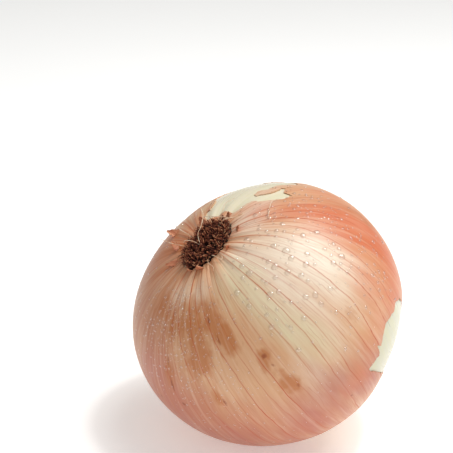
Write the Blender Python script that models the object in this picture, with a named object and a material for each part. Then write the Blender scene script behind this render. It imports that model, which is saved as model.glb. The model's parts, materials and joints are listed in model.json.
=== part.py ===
"""A large brown onion lying on its side, root end up, with its dry skin torn in two places.

The onion is worked out standing on its neck, with the root end at local +Z, and one empty then
leans the whole of it towards -X, so that it rests on a small flat spot of its belly. Lengths are
in metres. A place on the skin is given by its arc length from the root pole and its longitude.
"""

import math

import bmesh
import bpy
import numpy as np
from mathutils import Matrix, Vector
from mathutils.geometry import tessellate_polygon

MM = 0.001

# Driving dimensions of the bulb
BELLY_RADIUS = 45.0 * MM
ROOT_END_HEIGHT = 38.8 * MM
NECK_END_HEIGHT = 38.0 * MM
SQUARENESS = 2.1
DIMPLE_DEPTH = 2.0 * MM
DIMPLE_REACH = 12.0 * MM
NECK_RADIUS = 5.8 * MM
NECK_RISE = 3.3 * MM
NECK_SPREAD = 4.2 * MM
NECK_REACH = 45.0 * MM
LEAF_REACH = 48.5 * MM
NECK_FLOOR_DEPTH = 6.0 * MM
NECK_BEND, NECK_BEND_TURN = 2.2 * MM, math.radians(60)
NECK_BEND_START = 30.0 * MM
OUTLINE_JOIN = 20.0 * MM
OUTLINE_SAMPLES, TUBE_SAMPLES, CLOSEST_TO_TUBE = 600, 300, 0.05 * MM

# Slow lumps of the belly and folds of the skin: share or depth, count and direction
OVAL_SHARE, OVAL_TURN = 0.011, math.radians(126)
THREE_SIDED_SHARE, THREE_SIDED_TURN = 0.013, math.radians(25)
FLAT_POLAR, FLAT_TURN, FLAT_SPREAD, FLAT_DEPTH = 119, 288, 24, 1.2 * MM
ROOT_PLEATS, ROOT_PLEAT_DEPTH = 16, 0.3 * MM
ROOT_PLEAT_PEAK, ROOT_PLEAT_REACH = 12.0 * MM, 8.0 * MM
NECK_PLEATS, NECK_PLEAT_DEPTH = 12, 0.55 * MM
NECK_PLEAT_REACH, NECK_PLEAT_SWAY = 9.0 * MM, 0.8

# How it lies
LEAN = math.radians(39)
REST_SPOT_DEPTH = 1.9 * MM

# Fits
SKIN_THICKNESS = 0.6 * MM
GAP = 0.3 * MM

# Oval root plate, roots and the strands that hang out of the tuft
PLATE_LONG, PLATE_SHORT = 9.3 * MM, 6.4 * MM
RIM_CLEARANCE, COLLAR_CLEARANCE = 0.7 * MM, 2.3 * MM
PLATE_PROUD = 1.0 * MM
PLATE_CROWN = 0.7 * MM
SOCKET_DEPTH = 3.5 * MM
PLATE_EDGE_DROP = 0.5 * MM
ROOT_RIM_FRAY, NECK_RIM_FRAY, FRAY_SEED = 1.1 * MM, 2.0 * MM, 11
FIRST_ROW = 13.0 * MM
ROOT_COUNT = 135
ROOT_SEED = 92
ROOT_RADIUS = 0.42 * MM
ROOT_LENGTHS = (1.7 * MM, 3.0 * MM)
ROOT_EDGE_GAIN = 0.5
ROOT_EDGE_LEAN = math.radians(66)
ROOT_SUNK = 0.9 * MM
ROOT_RIM_INSET = 0.6 * MM

# Mesh density
COLUMNS = 64
OUTER_ROWS = 25
INNER_ROWS = 17
TIGHTEST_BEND = 3.0 * MM

# Where the skin is torn away: corners as (polar angle, longitude) in degrees, root pole at 0, with
# the polar angle measured as if the squat bulb were stretched back to a ball
SIDE_TEAR = (
    (108.5, 312.5), (98.5, 306), (99, 302), (97, 298), (95.2, 294), (95.5, 290), (97.5, 287),
    (99.5, 284.5), (96.5, 283), (102.5, 281.5), (101.5, 277.5), (101.2, 274), (103.8, 274.2),
    (107, 275.7), (111.5, 277.2), (116, 278.6), (122, 280), (130, 282.5), (136, 289), (137, 300),
    (133, 310), (125, 318), (117, 321),
)
TOP_TEAR = (
    (17.5, 9), (18.3, 5.5), (19.5, 3), (22, 4), (24.5, 3.5), (26.5, 2), (29, 354), (32.5, 351),
    (35.5, 348.5), (39, 348), (42, 349), (41, 352.5), (40, 355.5), (41.5, 358), (44, 0.5), (42.5, 3.5),
    (40.5, 1.5), (38.5, 0.5), (35.5, 1), (32.5, 4), (30.5, 6.5), (31, 10), (33.5, 11.5), (36, 8.5),
    (39, 8), (41.5, 8.5), (45, 8.5), (48.5, 7), (52.5, 4.5), (58, 11), (61, 21), (54, 29), (56, 38),
    (49, 46), (43, 52), (36, 53), (31, 49), (26.5, 49.5), (23, 51), (22.5, 56), (20, 58), (15.5, 55),
    (15, 47), (15.8, 39), (17, 29), (17.8, 18),
)
TEAR_SPLITS, TEAR_JITTER = 1, 0.14
SIDE_TEAR_SEED, TOP_TEAR_SEED = 3, 5
PLUG_FLOOR, PLUG_TOP = 3.0 * MM, -14.0 * MM

# Scraps of dry skin that stand up beside the roots: longitude and polar angle of the foot, width,
# length and lift from the skin in degrees
SCRAPS = (
    (93, 25, 3.6 * MM, 3.8 * MM, 42),
    (158, 17, 4.6 * MM, 3.2 * MM, 16),
    (236, 15.5, 3.2 * MM, 2.6 * MM, 26),
    (118, 15.5, 3.0 * MM, 3.0 * MM, 30),
    (325, 16, 3.0 * MM, 2.4 * MM, 22),
)
SCRAP_SUNK = 0.25 * MM

# Long strands: share of the way to the plate's edge, angle, length, then heading, lean and bend
STRANDS = (
    (0.4, 200, 10.5 * MM, 60, 42, -60),
    (0.82, 25, 10.0 * MM, 18, 50, 30),
    (0.85, 350, 9.0 * MM, 346, 62, -20),
    (0.82, 262, 6.5 * MM, 262, 56, 130),
    (0.75, 80, 9.0 * MM, 70, 44, 60),
)
STRAND_RADII = (0.4 * MM, 0.3 * MM)

# Rolled leaves in the neck: where they touch the skin, how high each stands, and their folds
LEAF_SIDES, LEAF_SEED = 40, 19
LEAF_FIT_DEPTH, LEAF_RIM_RISE = 2.6 * MM, 0.6 * MM
OUTER_LEAF_TOP, INNER_LEAF_TOP, LEAF_CORE_TOP, LEAF_GROOVE = 1.6 * MM, 2.8 * MM, 2.0 * MM, -0.6 * MM
LEAF_FOLDS = 5

COLOURS = {
    "flesh": ((0.86, 0.84, 0.66), 0.35),
    "skin": ((0.80, 0.50, 0.31), 0.42),
    "root": ((0.16, 0.08, 0.05), 0.85),
    "dry_leaf": ((0.66, 0.47, 0.28), 0.7),
}


def clear_scene():
    """Removes every object, so that the script can be run again in an open file."""
    for thing in list(bpy.data.objects):
        bpy.data.objects.remove(thing)


def material(name):
    """A plain Principled material with the colour and roughness named above."""
    colour, roughness = COLOURS[name]
    made = bpy.data.materials.new(name)
    made.use_nodes = True
    shader = made.node_tree.nodes["Principled BSDF"]
    shader.inputs["Base Color"].default_value = (*colour, 1.0)
    shader.inputs["Roughness"].default_value = roughness
    shader.inputs["Metallic"].default_value = 0.0
    return made


def trace_meridian():
    """The outline from the root pole to the neck tip: arc length, radius, height and outward normal.

    The root half is a superellipse, sunk in the middle by a bell curve. In the neck half a rise is
    added to the superellipse: the logarithm of one minus an exponential, which fades out over the
    shoulder and runs off into a straight tube at the neck's radius.
    """
    polar = np.linspace(0.0, math.pi / 2, OUTLINE_SAMPLES)
    swell = (np.sin(polar) ** SQUARENESS + np.cos(polar).clip(0) ** SQUARENESS) ** (-1 / SQUARENESS)
    root_radius = BELLY_RADIUS * swell * np.sin(polar)
    root_height = ROOT_END_HEIGHT * swell * np.cos(polar)
    root_height -= DIMPLE_DEPTH * np.exp(-((root_radius / DIMPLE_REACH) ** 2))

    shoulder = root_radius[root_radius > OUTLINE_JOIN][::-1]
    tube = NECK_RADIUS + np.geomspace(OUTLINE_JOIN - NECK_RADIUS, CLOSEST_TO_TUBE, TUBE_SAMPLES)
    radius = np.concatenate([shoulder, tube])
    drop = NECK_END_HEIGHT * (1 - (radius / BELLY_RADIUS).clip(0, 1) ** SQUARENESS) ** (1 / SQUARENESS)
    drop -= NECK_RISE * np.log(1 - np.exp(-(radius - NECK_RADIUS) / NECK_SPREAD))
    drop -= drop[0]
    kept = drop <= LEAF_REACH

    radius = np.concatenate([root_radius, radius[kept][1:]])
    height = np.concatenate([root_height, -drop[kept][1:]])
    steps = np.hypot(np.diff(radius), np.diff(height))
    arc = np.concatenate([[0.0], np.cumsum(steps)])
    slope_r, slope_z = np.gradient(radius, arc), np.gradient(height, arc)
    size = np.hypot(slope_r, slope_z)
    return arc, radius, height, -slope_z / size, slope_r / size


ARC, RADIUS, HEIGHT, NORMAL_R, NORMAL_Z = trace_meridian()
NECK_RIM = float(np.interp(NECK_REACH, -HEIGHT[OUTLINE_SAMPLES:], ARC[OUTLINE_SAMPLES:]))


def arc_at_polar(degrees):
    """Arc length from the root pole, for a polar angle on the ball that the bulb is squashed from."""
    squash = np.where(HEIGHT > 0, ROOT_END_HEIGHT, NECK_END_HEIGHT)
    seen = np.degrees(np.arctan2(RADIUS / BELLY_RADIUS, HEIGHT / squash))
    return np.interp(degrees, seen, ARC)


def plate_reach(longitude):
    """How far the oval root plate reaches from the axis at this longitude."""
    return 1 / np.hypot(np.cos(longitude) / PLATE_LONG, np.sin(longitude) / PLATE_SHORT)


def body_height():
    """Height of the bulb's middle over the floor, less what the rest spot takes off."""
    belly = RADIUS > BELLY_RADIUS / 2
    lowest = np.min(-RADIUS[belly] * math.sin(LEAN) + HEIGHT[belly] * math.cos(LEAN))
    return -float(lowest) - REST_SPOT_DEPTH


def spaced_rows(start, end, count):
    """Arc lengths from start to end, closer together where the outline bends more."""
    bend = np.hypot(np.gradient(NORMAL_R, ARC), np.gradient(NORMAL_Z, ARC))
    density = np.sqrt(bend.clip(1 / BELLY_RADIUS, 1 / TIGHTEST_BEND))
    total = np.concatenate([[0.0], np.cumsum((density[1:] + density[:-1]) / 2 * np.diff(ARC))])
    first, last = np.interp([start, end], ARC, total)
    return np.interp(np.linspace(first, last, count), total, ARC)


def inner_rows():
    """The rows that the skin's inner face and the bulb share, so that the gap between them is even."""
    return spaced_rows(FIRST_ROW, NECK_RIM - NECK_FLOOR_DEPTH, INNER_ROWS)


def flattening(arc, longitude):
    """A broad shallow flat below the side tear: a bell of the distance from its middle."""
    off = (longitude - math.radians(FLAT_TURN) + math.pi) % (2 * math.pi) - math.pi
    spread = math.radians(FLAT_SPREAD)
    down = (arc - arc_at_polar(FLAT_POLAR)) / (BELLY_RADIUS * spread)
    return FLAT_DEPTH * np.exp(-(down**2) - (off / spread) ** 2)


def relief(arc, longitude):
    """How far the skin stands out from the turned outline: slow lumps and the folds at both ends."""
    share = (np.interp(arc, ARC, RADIUS) / BELLY_RADIUS) ** 2
    oval = OVAL_SHARE * np.cos(2 * (longitude - OVAL_TURN))
    three_sided = THREE_SIDED_SHARE * np.cos(3 * (longitude - THREE_SIDED_TURN))
    near_root = np.exp(-(((arc - ROOT_PLEAT_PEAK) / ROOT_PLEAT_REACH) ** 2))
    near_neck = np.exp(-((NECK_RIM - arc).clip(0) / NECK_PLEAT_REACH))
    root_folds = near_root * np.cos(ROOT_PLEATS * longitude)
    neck_folds = near_neck * np.cos(NECK_PLEATS * longitude + NECK_PLEAT_SWAY * np.sin(2 * longitude))
    lumps = BELLY_RADIUS * share * (oval + three_sided) - flattening(arc, longitude)
    return lumps + ROOT_PLEAT_DEPTH * root_folds + NECK_PLEAT_DEPTH * neck_folds


def lay_flat(points, depth):
    """Lifts what would lie below the floor on to a plane at this depth, which makes the rest spot."""
    up = np.array([math.sin(LEAN), 0.0, math.cos(LEAN)])
    above = body_height() + points @ up - depth
    return points - np.minimum(above, 0.0)[..., None] * up


def skin_points(arc, longitude, depth=0.0):
    """Points at these places, this far in from the outer face of the skin."""
    arc, longitude = np.broadcast_arrays(arc, longitude)
    out = relief(arc, longitude) - depth
    radius = np.interp(arc, ARC, RADIUS) + np.interp(arc, ARC, NORMAL_R) * out
    height = np.interp(arc, ARC, HEIGHT) + np.interp(arc, ARC, NORMAL_Z) * out
    past = (-height - NECK_BEND_START).clip(0) / (NECK_REACH - NECK_BEND_START)
    bend = NECK_BEND * past**2
    across = radius * np.cos(longitude) + bend * math.cos(NECK_BEND_TURN)
    along = radius * np.sin(longitude) + bend * math.sin(NECK_BEND_TURN)
    points = np.stack([across, along, height], axis=-1)
    return lay_flat(points, depth)


def longitudes(count=COLUMNS):
    """Evenly spread longitudes, once round."""
    return np.arange(count) * 2 * math.pi / count


def ring_mesh(name, rings, joined_ends):
    """A closed mesh through rings of points: its ends are joined to each other, or capped."""
    count, columns = rings.shape[:2]
    index = np.arange(count * columns).reshape(count, columns)
    if joined_ends:
        index = np.vstack([index, index[:1]])
    beside = np.roll(index, -1, axis=1)
    quads = np.stack([index[:-1], index[1:], beside[1:], beside[:-1]], axis=-1).reshape(-1, 4)
    faces = quads.tolist()
    if not joined_ends:
        faces.append(index[0].tolist())
        faces.append(index[-1][::-1].tolist())
    mesh = bpy.data.meshes.new(name)
    mesh.from_pydata(rings.reshape(-1, 3).tolist(), [], faces)
    return face_outwards(mesh)


def face_outwards(mesh):
    """Turns every face of a closed mesh outwards."""
    work = bmesh.new()
    work.from_mesh(mesh)
    bmesh.ops.recalc_face_normals(work, faces=work.faces)
    work.to_mesh(mesh)
    work.free()
    return mesh


def add_object(name, mesh, parent, finish):
    """Puts a mesh in the scene under the leaning empty, shaded smooth but for its sharp edges."""
    thing = bpy.data.objects.new(name, mesh)
    bpy.context.scene.collection.objects.link(thing)
    thing.parent = parent
    if finish is not None:
        mesh.materials.clear()
        mesh.materials.append(finish)
    mesh.shade_smooth()
    mesh.set_sharp_from_angle(angle=math.radians(40))
    return thing


def keep_largest(mesh):
    """Drops every loose scrap and sealed bubble that a Boolean leaves, so that one body stays."""
    work = bmesh.new()
    work.from_mesh(mesh)
    left = set(work.verts)
    bodies = []
    while left:
        body, edge = set(), [left.pop()]
        while edge:
            vertex = edge.pop()
            body.add(vertex)
            beside = {link.other_vert(vertex) for link in vertex.link_edges} & left
            left -= beside
            edge.extend(beside)
        bodies.append(body)
    largest = max(bodies, key=len)
    bmesh.ops.delete(work, geom=[v for v in work.verts if v not in largest], context="VERTS")
    work.to_mesh(mesh)
    work.free()


def boolean(thing, cutters, operation, solver):
    """Joins to or cuts from an object everything in a list, then removes what was in the list."""
    group = bpy.data.collections.new(thing.name + "_tools")
    bpy.context.scene.collection.children.link(group)
    for cutter in cutters:
        bpy.context.scene.collection.objects.unlink(cutter)
        group.objects.link(cutter)
    change = thing.modifiers.new("combine", "BOOLEAN")
    change.operand_type = "COLLECTION"
    change.collection = group
    change.operation = operation
    change.solver = solver
    bpy.context.view_layer.update()
    done = bpy.data.meshes.new_from_object(thing.evaluated_get(bpy.context.evaluated_depsgraph_get()))
    thing.modifiers.clear()
    thing.data = done
    for cutter in list(group.objects):
        bpy.data.objects.remove(cutter)
    bpy.data.collections.remove(group)
    keep_largest(done)


def ragged_outline(corners, seed):
    """Arc lengths and longitudes of a torn edge: each side gets a new corner, a little off its middle."""
    draw = np.random.default_rng(seed)
    points = np.array([(arc_at_polar(polar), math.radians(turn)) for polar, turn in corners])
    points[:, 1] = np.unwrap(points[:, 1])
    for _ in range(TEAR_SPLITS):
        after = np.roll(points, -1, axis=0)
        side = after - points
        sway = draw.uniform(-TEAR_JITTER, TEAR_JITTER, len(points))[:, None]
        radius = np.interp(points[:, 0], ARC, RADIUS)
        across = np.stack([-side[:, 1] * radius, side[:, 0] / radius], axis=-1)
        middle = (points + after) / 2 + sway * across
        points = np.stack([points, middle], axis=1).reshape(-1, 2)
    return points


def tear_cutter(name, corners, seed, parent):
    """A plug through the skin with the outline of a tear, deeper and higher than the skin is thick."""
    outline = ragged_outline(corners, seed)
    inner = skin_points(outline[:, 0], outline[:, 1], PLUG_FLOOR)
    outer = skin_points(outline[:, 0], outline[:, 1], PLUG_TOP)
    count = len(outline)
    flat = [Vector((arc, turn * BELLY_RADIUS, 0.0)) for arc, turn in outline]
    lid = tessellate_polygon([flat])
    faces = [tuple(triangle) for triangle in lid]
    faces += [tuple(count + corner for corner in reversed(triangle)) for triangle in lid]
    for corner in range(count):
        after = (corner + 1) % count
        faces.append((corner, after, count + after, count + corner))
    mesh = bpy.data.meshes.new(name)
    mesh.from_pydata(np.concatenate([inner, outer]).tolist(), [], faces)
    return add_object(name, face_outwards(mesh), parent, None)


def scrap(name, place, parent):
    """A thin pointed scrap of skin that stands up from the skin beside the roots."""
    turn, polar, width, length, rise = place
    longitude, arc, lift = math.radians(turn), arc_at_polar(polar), math.radians(rise)
    foot = skin_points(np.array(arc), np.array(longitude))
    ahead = skin_points(np.array(arc + MM), np.array(longitude)) - foot
    ahead /= np.linalg.norm(ahead)
    side = np.array([-math.sin(longitude), math.cos(longitude), 0.0])
    out = np.cross(ahead, side)
    out *= np.sign(out[2])
    along = ahead * math.cos(lift) + out * math.sin(lift)
    thick = np.cross(along, side)
    thick *= np.sign(thick @ out) * SKIN_THICKNESS / 2
    root = foot - along * SCRAP_SUNK
    outline = np.array([(-0.5, 0.0), (0.5, 0.0), (0.34, 0.45), (0.05, 1.0), (-0.12, 0.62), (-0.4, 0.5)])
    flat = root + outline[:, :1] * width * side + outline[:, 1:] * length * along
    rings = np.stack([flat - thick, flat + thick])
    return add_object(name, ring_mesh(name, rings, joined_ends=False), parent, None)


def from_root_edge(root_edge, rows):
    """Arc lengths, one a column: the edge at the root plate, a collar that follows it, then even rows."""
    collar = plate_reach(longitudes()) + COLLAR_CLEARANCE
    return np.concatenate([root_edge[None], collar[None], np.repeat(rows[:, None], COLUMNS, axis=1)])


def build_outer_skin(parent, finish):
    """The dry skin: one thin shell from the root plate to the neck, open at both ends and torn twice."""
    draw = np.random.default_rng(FRAY_SEED)
    turn = longitudes()
    root_edge = plate_reach(turn) + RIM_CLEARANCE + draw.uniform(0.0, ROOT_RIM_FRAY, COLUMNS)
    neck_edge = NECK_RIM - draw.uniform(0.0, NECK_RIM_FRAY, COLUMNS)
    last_row = NECK_RIM - NECK_FLOOR_DEPTH / 2
    outer_rows = spaced_rows(FIRST_ROW, last_row, OUTER_ROWS)
    inside = np.append(inner_rows(), last_row)
    outer = skin_points(np.vstack([from_root_edge(root_edge, outer_rows), neck_edge]), turn)
    inner = skin_points(np.vstack([from_root_edge(root_edge, inside), neck_edge]), turn, SKIN_THICKNESS)
    mesh = ring_mesh("outer_skin", np.concatenate([outer, inner[::-1]]), joined_ends=True)
    skin = add_object("outer_skin", mesh, parent, finish)
    scraps = [scrap(f"scrap_{n}", place, parent) for n, place in enumerate(SCRAPS)]
    boolean(skin, scraps, "UNION", "EXACT")
    tears = [
        tear_cutter("side_tear", SIDE_TEAR, SIDE_TEAR_SEED, parent),
        tear_cutter("top_tear", TOP_TEAR, TOP_TEAR_SEED, parent),
    ]
    boolean(skin, tears, "DIFFERENCE", "EXACT")
    return skin


def build_bulb(parent, finish):
    """The fleshy bulb that shows through the tears, with an oval socket for the root plate."""
    turn = longitudes()
    depth = SKIN_THICKNESS + GAP
    rows = from_root_edge(plate_reach(turn) + RIM_CLEARANCE, inner_rows())
    surface = skin_points(rows, turn, depth)
    surface[-1, :, 2] = neck_floor()
    mouth = surface[:1].copy()
    mouth[0, :, 0] = (plate_reach(turn) + GAP) * np.cos(turn)
    mouth[0, :, 1] = (plate_reach(turn) + GAP) * np.sin(turn)
    floor = mouth.copy()
    floor[..., 2] = socket_floor()
    rings = np.concatenate([floor, mouth, surface])
    return add_object("bulb", ring_mesh("bulb", rings, joined_ends=False), parent, finish)


def neck_floor():
    """Height of the level end of the bulb inside the neck, which carries the rolled leaves."""
    ring = skin_points(NECK_RIM - NECK_FLOOR_DEPTH, longitudes(), SKIN_THICKNESS + GAP)
    return float(ring[:, 2].mean())


def socket_floor():
    """Height of the floor of the socket that the root plate sits in."""
    return float(np.interp(PLATE_LONG, ARC, HEIGHT)) - SOCKET_DEPTH


def plate_top():
    """Height of the root plate's edge, a little proud of the skin round it."""
    return float(np.interp(PLATE_LONG, ARC, HEIGHT)) + PLATE_PROUD


def over_skin(path, clearance):
    """A root's path, raised wherever it would come closer to the skin's root end than this."""
    reach = np.hypot(path[:, 0], path[:, 1])
    half = RADIUS.argmax()
    skin = np.interp(reach, RADIUS[:half], HEIGHT[:half]) + ROOT_PLEAT_DEPTH
    beyond = np.hypot(path[:, 0] / PLATE_LONG, path[:, 1] / PLATE_SHORT) > 1
    lowest = np.where(beyond, skin + clearance, -1.0)
    return np.column_stack([path[:, :2], np.maximum(path[:, 2], lowest)])


def rod(name, path, radii, sides, parent):
    """A thin tapered rod along a path, with a flat foot and a blunt tip."""
    ahead = np.gradient(path, axis=0)
    ahead /= np.linalg.norm(ahead, axis=1)[:, None]
    guide = np.array([0.31, 0.87, 0.12])
    side = np.cross(ahead, guide)
    side /= np.linalg.norm(side, axis=1)[:, None]
    other = np.cross(ahead, side)
    turn = longitudes(sides)[None, :, None]
    around = side[:, None] * np.cos(turn) + other[:, None] * np.sin(turn)
    rings = path[:, None] + around * radii[:, None, None]
    return add_object(name, ring_mesh(name, rings, joined_ends=False), parent, None)


def plate_spot(share, turn, inset=0.0):
    """A spot on the oval plate: this share of the way out to an edge that is drawn in by the inset."""
    return share * (PLATE_LONG - inset) * math.cos(turn), share * (PLATE_SHORT - inset) * math.sin(turn)


def short_root(number, draw, parent):
    """One dried root: it starts on a sunflower spiral, leans out with its distance and curls a little."""
    golden_angle = math.pi * (3 - math.sqrt(5))
    share = math.sqrt((number + 0.5) / ROOT_COUNT)
    turn = number * golden_angle + draw.uniform(-0.1, 0.1)
    x, y = plate_spot(share, turn, ROOT_RIM_INSET)
    crown = PLATE_CROWN * (1 - share**2)
    start = np.array([x, y, plate_top() + crown - ROOT_SUNK])
    lean = ROOT_EDGE_LEAN * share**1.4 + math.radians(draw.uniform(-12, 12))
    outward = math.atan2(y / PLATE_SHORT**2, x / PLATE_LONG**2)
    heading = outward + draw.uniform(-0.7, 0.7)
    curl = draw.uniform(-0.5, 0.6)
    length = draw.uniform(*ROOT_LENGTHS) * (1 + ROOT_EDGE_GAIN * share**2) + ROOT_SUNK
    steps = np.linspace(0.0, 1.0, 3)
    tilt = lean * (0.4 + 0.8 * steps) + curl * steps**2
    out = np.sin(tilt)
    pieces = np.stack([out * math.cos(heading), out * math.sin(heading), np.cos(tilt)], axis=-1)
    path = start + (np.cumsum(pieces, axis=0) - pieces[0]) * length / 2
    radii = ROOT_RADIUS * np.array([1.0, 0.9, 0.65])
    path = over_skin(path, ROOT_RADIUS + 2 * GAP)
    return rod(f"root_{number}", path, radii, 3, parent)


def long_strand(number, place, parent):
    """A long dry root that leaves the tuft, leans towards its heading and bends round as it goes."""
    share, turn, length, heading, lean, bend = place
    start = np.array([*plate_spot(share, math.radians(turn)), plate_top() - ROOT_SUNK / 2])
    steps = np.linspace(0.0, 1.0, 9)
    way = math.radians(heading) + math.radians(bend) * steps**2
    tilt = math.radians(lean) * (0.5 + 0.9 * steps)
    pieces = np.stack([np.sin(tilt) * np.cos(way), np.sin(tilt) * np.sin(way), np.cos(tilt)], -1)
    path = start + (np.cumsum(pieces, axis=0) - pieces[0]) * length / 8
    radii = np.linspace(*STRAND_RADII, 9)
    path = over_skin(path, ROOT_RADIUS + 2 * GAP)
    return rod(f"strand_{number}", path, radii, 4, parent)


def build_root_tuft(parent, finish):
    """The corky root plate with its mat of dried roots and a few long strands, as one body."""
    draw = np.random.default_rng(ROOT_SEED)
    turn = longitudes(40)
    shares = np.array([1.0, 1.0, 0.94, 0.5, 0.12])
    edge = plate_top()
    wall = np.array([socket_floor() + GAP, edge - PLATE_EDGE_DROP])
    heights = np.concatenate([wall, edge + PLATE_CROWN * np.array([0.0, 0.75, 1.0])])
    edge_line = np.stack([PLATE_LONG * np.cos(turn), PLATE_SHORT * np.sin(turn)], axis=-1)
    rings = np.zeros((len(shares), len(turn), 3))
    rings[..., :2] = shares[:, None, None] * edge_line
    rings[..., 2] = heights[:, None]
    tuft = add_object("root_tuft", ring_mesh("root_tuft", rings, joined_ends=False), parent, finish)
    roots = [short_root(number, draw, parent) for number in range(ROOT_COUNT)]
    roots += [long_strand(number, place, parent) for number, place in enumerate(STRANDS)]
    boolean(tuft, roots, "UNION", "MANIFOLD")
    return tuft


def build_neck_leaves(parent, finish):
    """The dried leaf ends rolled in the neck: two crumpled sheaths round a core, on one foot."""
    draw = np.random.default_rng(LEAF_SEED)
    turn = longitudes(LEAF_SIDES)
    foot = NECK_RIM - NECK_FLOOR_DEPTH + 2 * GAP
    fit = skin_points(np.array([[foot], [NECK_RIM - LEAF_FIT_DEPTH]]), turn, SKIN_THICKNESS + GAP)
    fit[0, :, 2] = neck_floor() - GAP
    middle = fit.mean(axis=1, keepdims=True)
    rim = skin_points(np.array([[NECK_RIM + LEAF_RIM_RISE]]), turn, SKIN_THICKNESS + GAP)
    rim_middle = rim.mean(axis=1, keepdims=True)
    spread = rim - rim_middle
    axis = (rim_middle - middle[1:])[0, 0]
    axis /= np.linalg.norm(axis)

    def ring(scale, rise, ragged=0.0, fold=0.0, phase=0.0):
        """A ring round the neck's line: a share of the rim's size, raised, ragged and folded."""
        wave = 1 + fold * np.cos(LEAF_FOLDS * turn + phase)
        lift = rise + ragged * draw.uniform(-1.0, 1.0, len(turn))
        return rim_middle[0] + spread[0] * (scale * wave)[:, None] + lift[:, None] * axis

    rings = [
        fit[0], fit[1], ring(0.86, -0.4 * MM),
        ring(0.9, OUTER_LEAF_TOP, 0.8 * MM, 0.05), ring(0.76, OUTER_LEAF_TOP, 0.5 * MM, 0.05),
        ring(0.72, LEAF_GROOVE), ring(0.6, LEAF_GROOVE),
        ring(0.6, INNER_LEAF_TOP, 0.7 * MM, 0.1, 2.0), ring(0.44, INNER_LEAF_TOP, 0.5 * MM, 0.1, 2.0),
        ring(0.42, LEAF_GROOVE), ring(0.3, LEAF_GROOVE),
        ring(0.26, LEAF_CORE_TOP, 0.3 * MM), ring(0.1, LEAF_CORE_TOP),
    ]
    mesh = ring_mesh("neck_leaves", np.stack(rings), joined_ends=False)
    return add_object("neck_leaves", mesh, parent, finish)


def stand_on_floor(leaning, pieces):
    """Leans the onion and puts the middle of its bounding box over the origin, its rest spot at z = 0."""
    leaning.rotation_euler = (0.0, -LEAN, 0.0)
    leaning.location = (0.0, 0.0, body_height())
    turned = Matrix.LocRotScale(leaning.location, leaning.rotation_euler, None)
    corners = np.array([turned @ v.co for piece in pieces for v in piece.data.vertices])
    middle = (corners.min(axis=0) + corners.max(axis=0)) / 2
    leaning.location = (-middle[0], -middle[1], body_height())


def main():
    """Builds the four pieces under one leaning empty."""
    clear_scene()
    leaning = bpy.data.objects.new("growth_axis", None)
    bpy.context.scene.collection.objects.link(leaning)
    pieces = [
        build_bulb(leaning, material("flesh")),
        build_outer_skin(leaning, material("skin")),
        build_root_tuft(leaning, material("root")),
        build_neck_leaves(leaning, material("dry_leaf")),
    ]
    stand_on_floor(leaning, pieces)
    bpy.context.view_layer.update()


main()
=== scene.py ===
# %% [markdown]
# A large brown onion with torn skin
#
# The onion lies on its side with its root end up. Four things make one up: the fleshy bulb, the
# papery skin that has dried on to it, the root plate with its brush of dead roots, and the dry
# leaf ends rolled in the neck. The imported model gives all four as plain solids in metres, and
# this lesson puts a finer surface and a finish in the place of each.

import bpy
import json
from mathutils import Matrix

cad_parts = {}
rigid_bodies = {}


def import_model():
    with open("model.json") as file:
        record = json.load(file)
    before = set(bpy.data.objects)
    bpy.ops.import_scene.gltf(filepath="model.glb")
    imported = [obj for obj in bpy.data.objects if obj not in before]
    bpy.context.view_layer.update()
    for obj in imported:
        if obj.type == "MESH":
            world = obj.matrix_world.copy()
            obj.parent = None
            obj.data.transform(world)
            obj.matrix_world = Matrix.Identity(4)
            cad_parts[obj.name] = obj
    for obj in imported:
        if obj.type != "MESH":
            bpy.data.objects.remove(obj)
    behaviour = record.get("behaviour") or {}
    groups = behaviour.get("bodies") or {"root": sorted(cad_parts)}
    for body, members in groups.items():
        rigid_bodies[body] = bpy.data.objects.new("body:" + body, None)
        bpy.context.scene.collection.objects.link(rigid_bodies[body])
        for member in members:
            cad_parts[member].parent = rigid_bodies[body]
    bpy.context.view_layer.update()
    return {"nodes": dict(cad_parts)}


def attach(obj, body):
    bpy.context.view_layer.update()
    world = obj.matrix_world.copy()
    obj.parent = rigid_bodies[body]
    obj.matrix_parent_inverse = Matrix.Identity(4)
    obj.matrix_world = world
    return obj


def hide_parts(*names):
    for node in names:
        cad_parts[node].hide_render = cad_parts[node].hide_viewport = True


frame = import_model()
print("nodes of the packed model:", sorted(frame["nodes"]))

# %% Units, arrays and the sizes that the onion shares with its solids
import json
import math

import bmesh
import bpy
import numpy as np
from mathutils import Matrix, Vector
from mathutils.geometry import tessellate_polygon

MM = 0.001
BELLY_RADIUS = 45.0 * MM
ROOT_END_HEIGHT, NECK_END_HEIGHT = 38.8 * MM, 38.0 * MM
SQUARENESS = 2.1
DIMPLE_DEPTH, DIMPLE_REACH = 2.0 * MM, 12.0 * MM
NECK_RADIUS, NECK_RISE, NECK_SPREAD = 5.8 * MM, 3.3 * MM, 4.2 * MM
NECK_REACH, LEAF_REACH = 45.0 * MM, 48.5 * MM
LEAN = math.radians(39)
MIDDLE = np.array([0.068, 0.427, 39.701]) * MM
print("belly", 2 * BELLY_RADIUS / MM, "mm across, leaning", math.degrees(LEAN), "degrees")

# %% [markdown]
# Camera first
#
# A long lens held a little above the onion keeps its outline round, as in a product picture. The
# camera is placed by turning round the bulb's middle, stepping back, and sliding sideways so
# that the onion sits low in the frame. The same three directions then help to place the lamps.

# %% Directions of the view
AZIMUTH, ELEVATION = math.radians(-32.5), math.radians(20)
VIEW_DISTANCE, SLIDE_RIGHT, SLIDE_UP = 413.3 * MM, 13.7 * MM, -28.5 * MM

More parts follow.
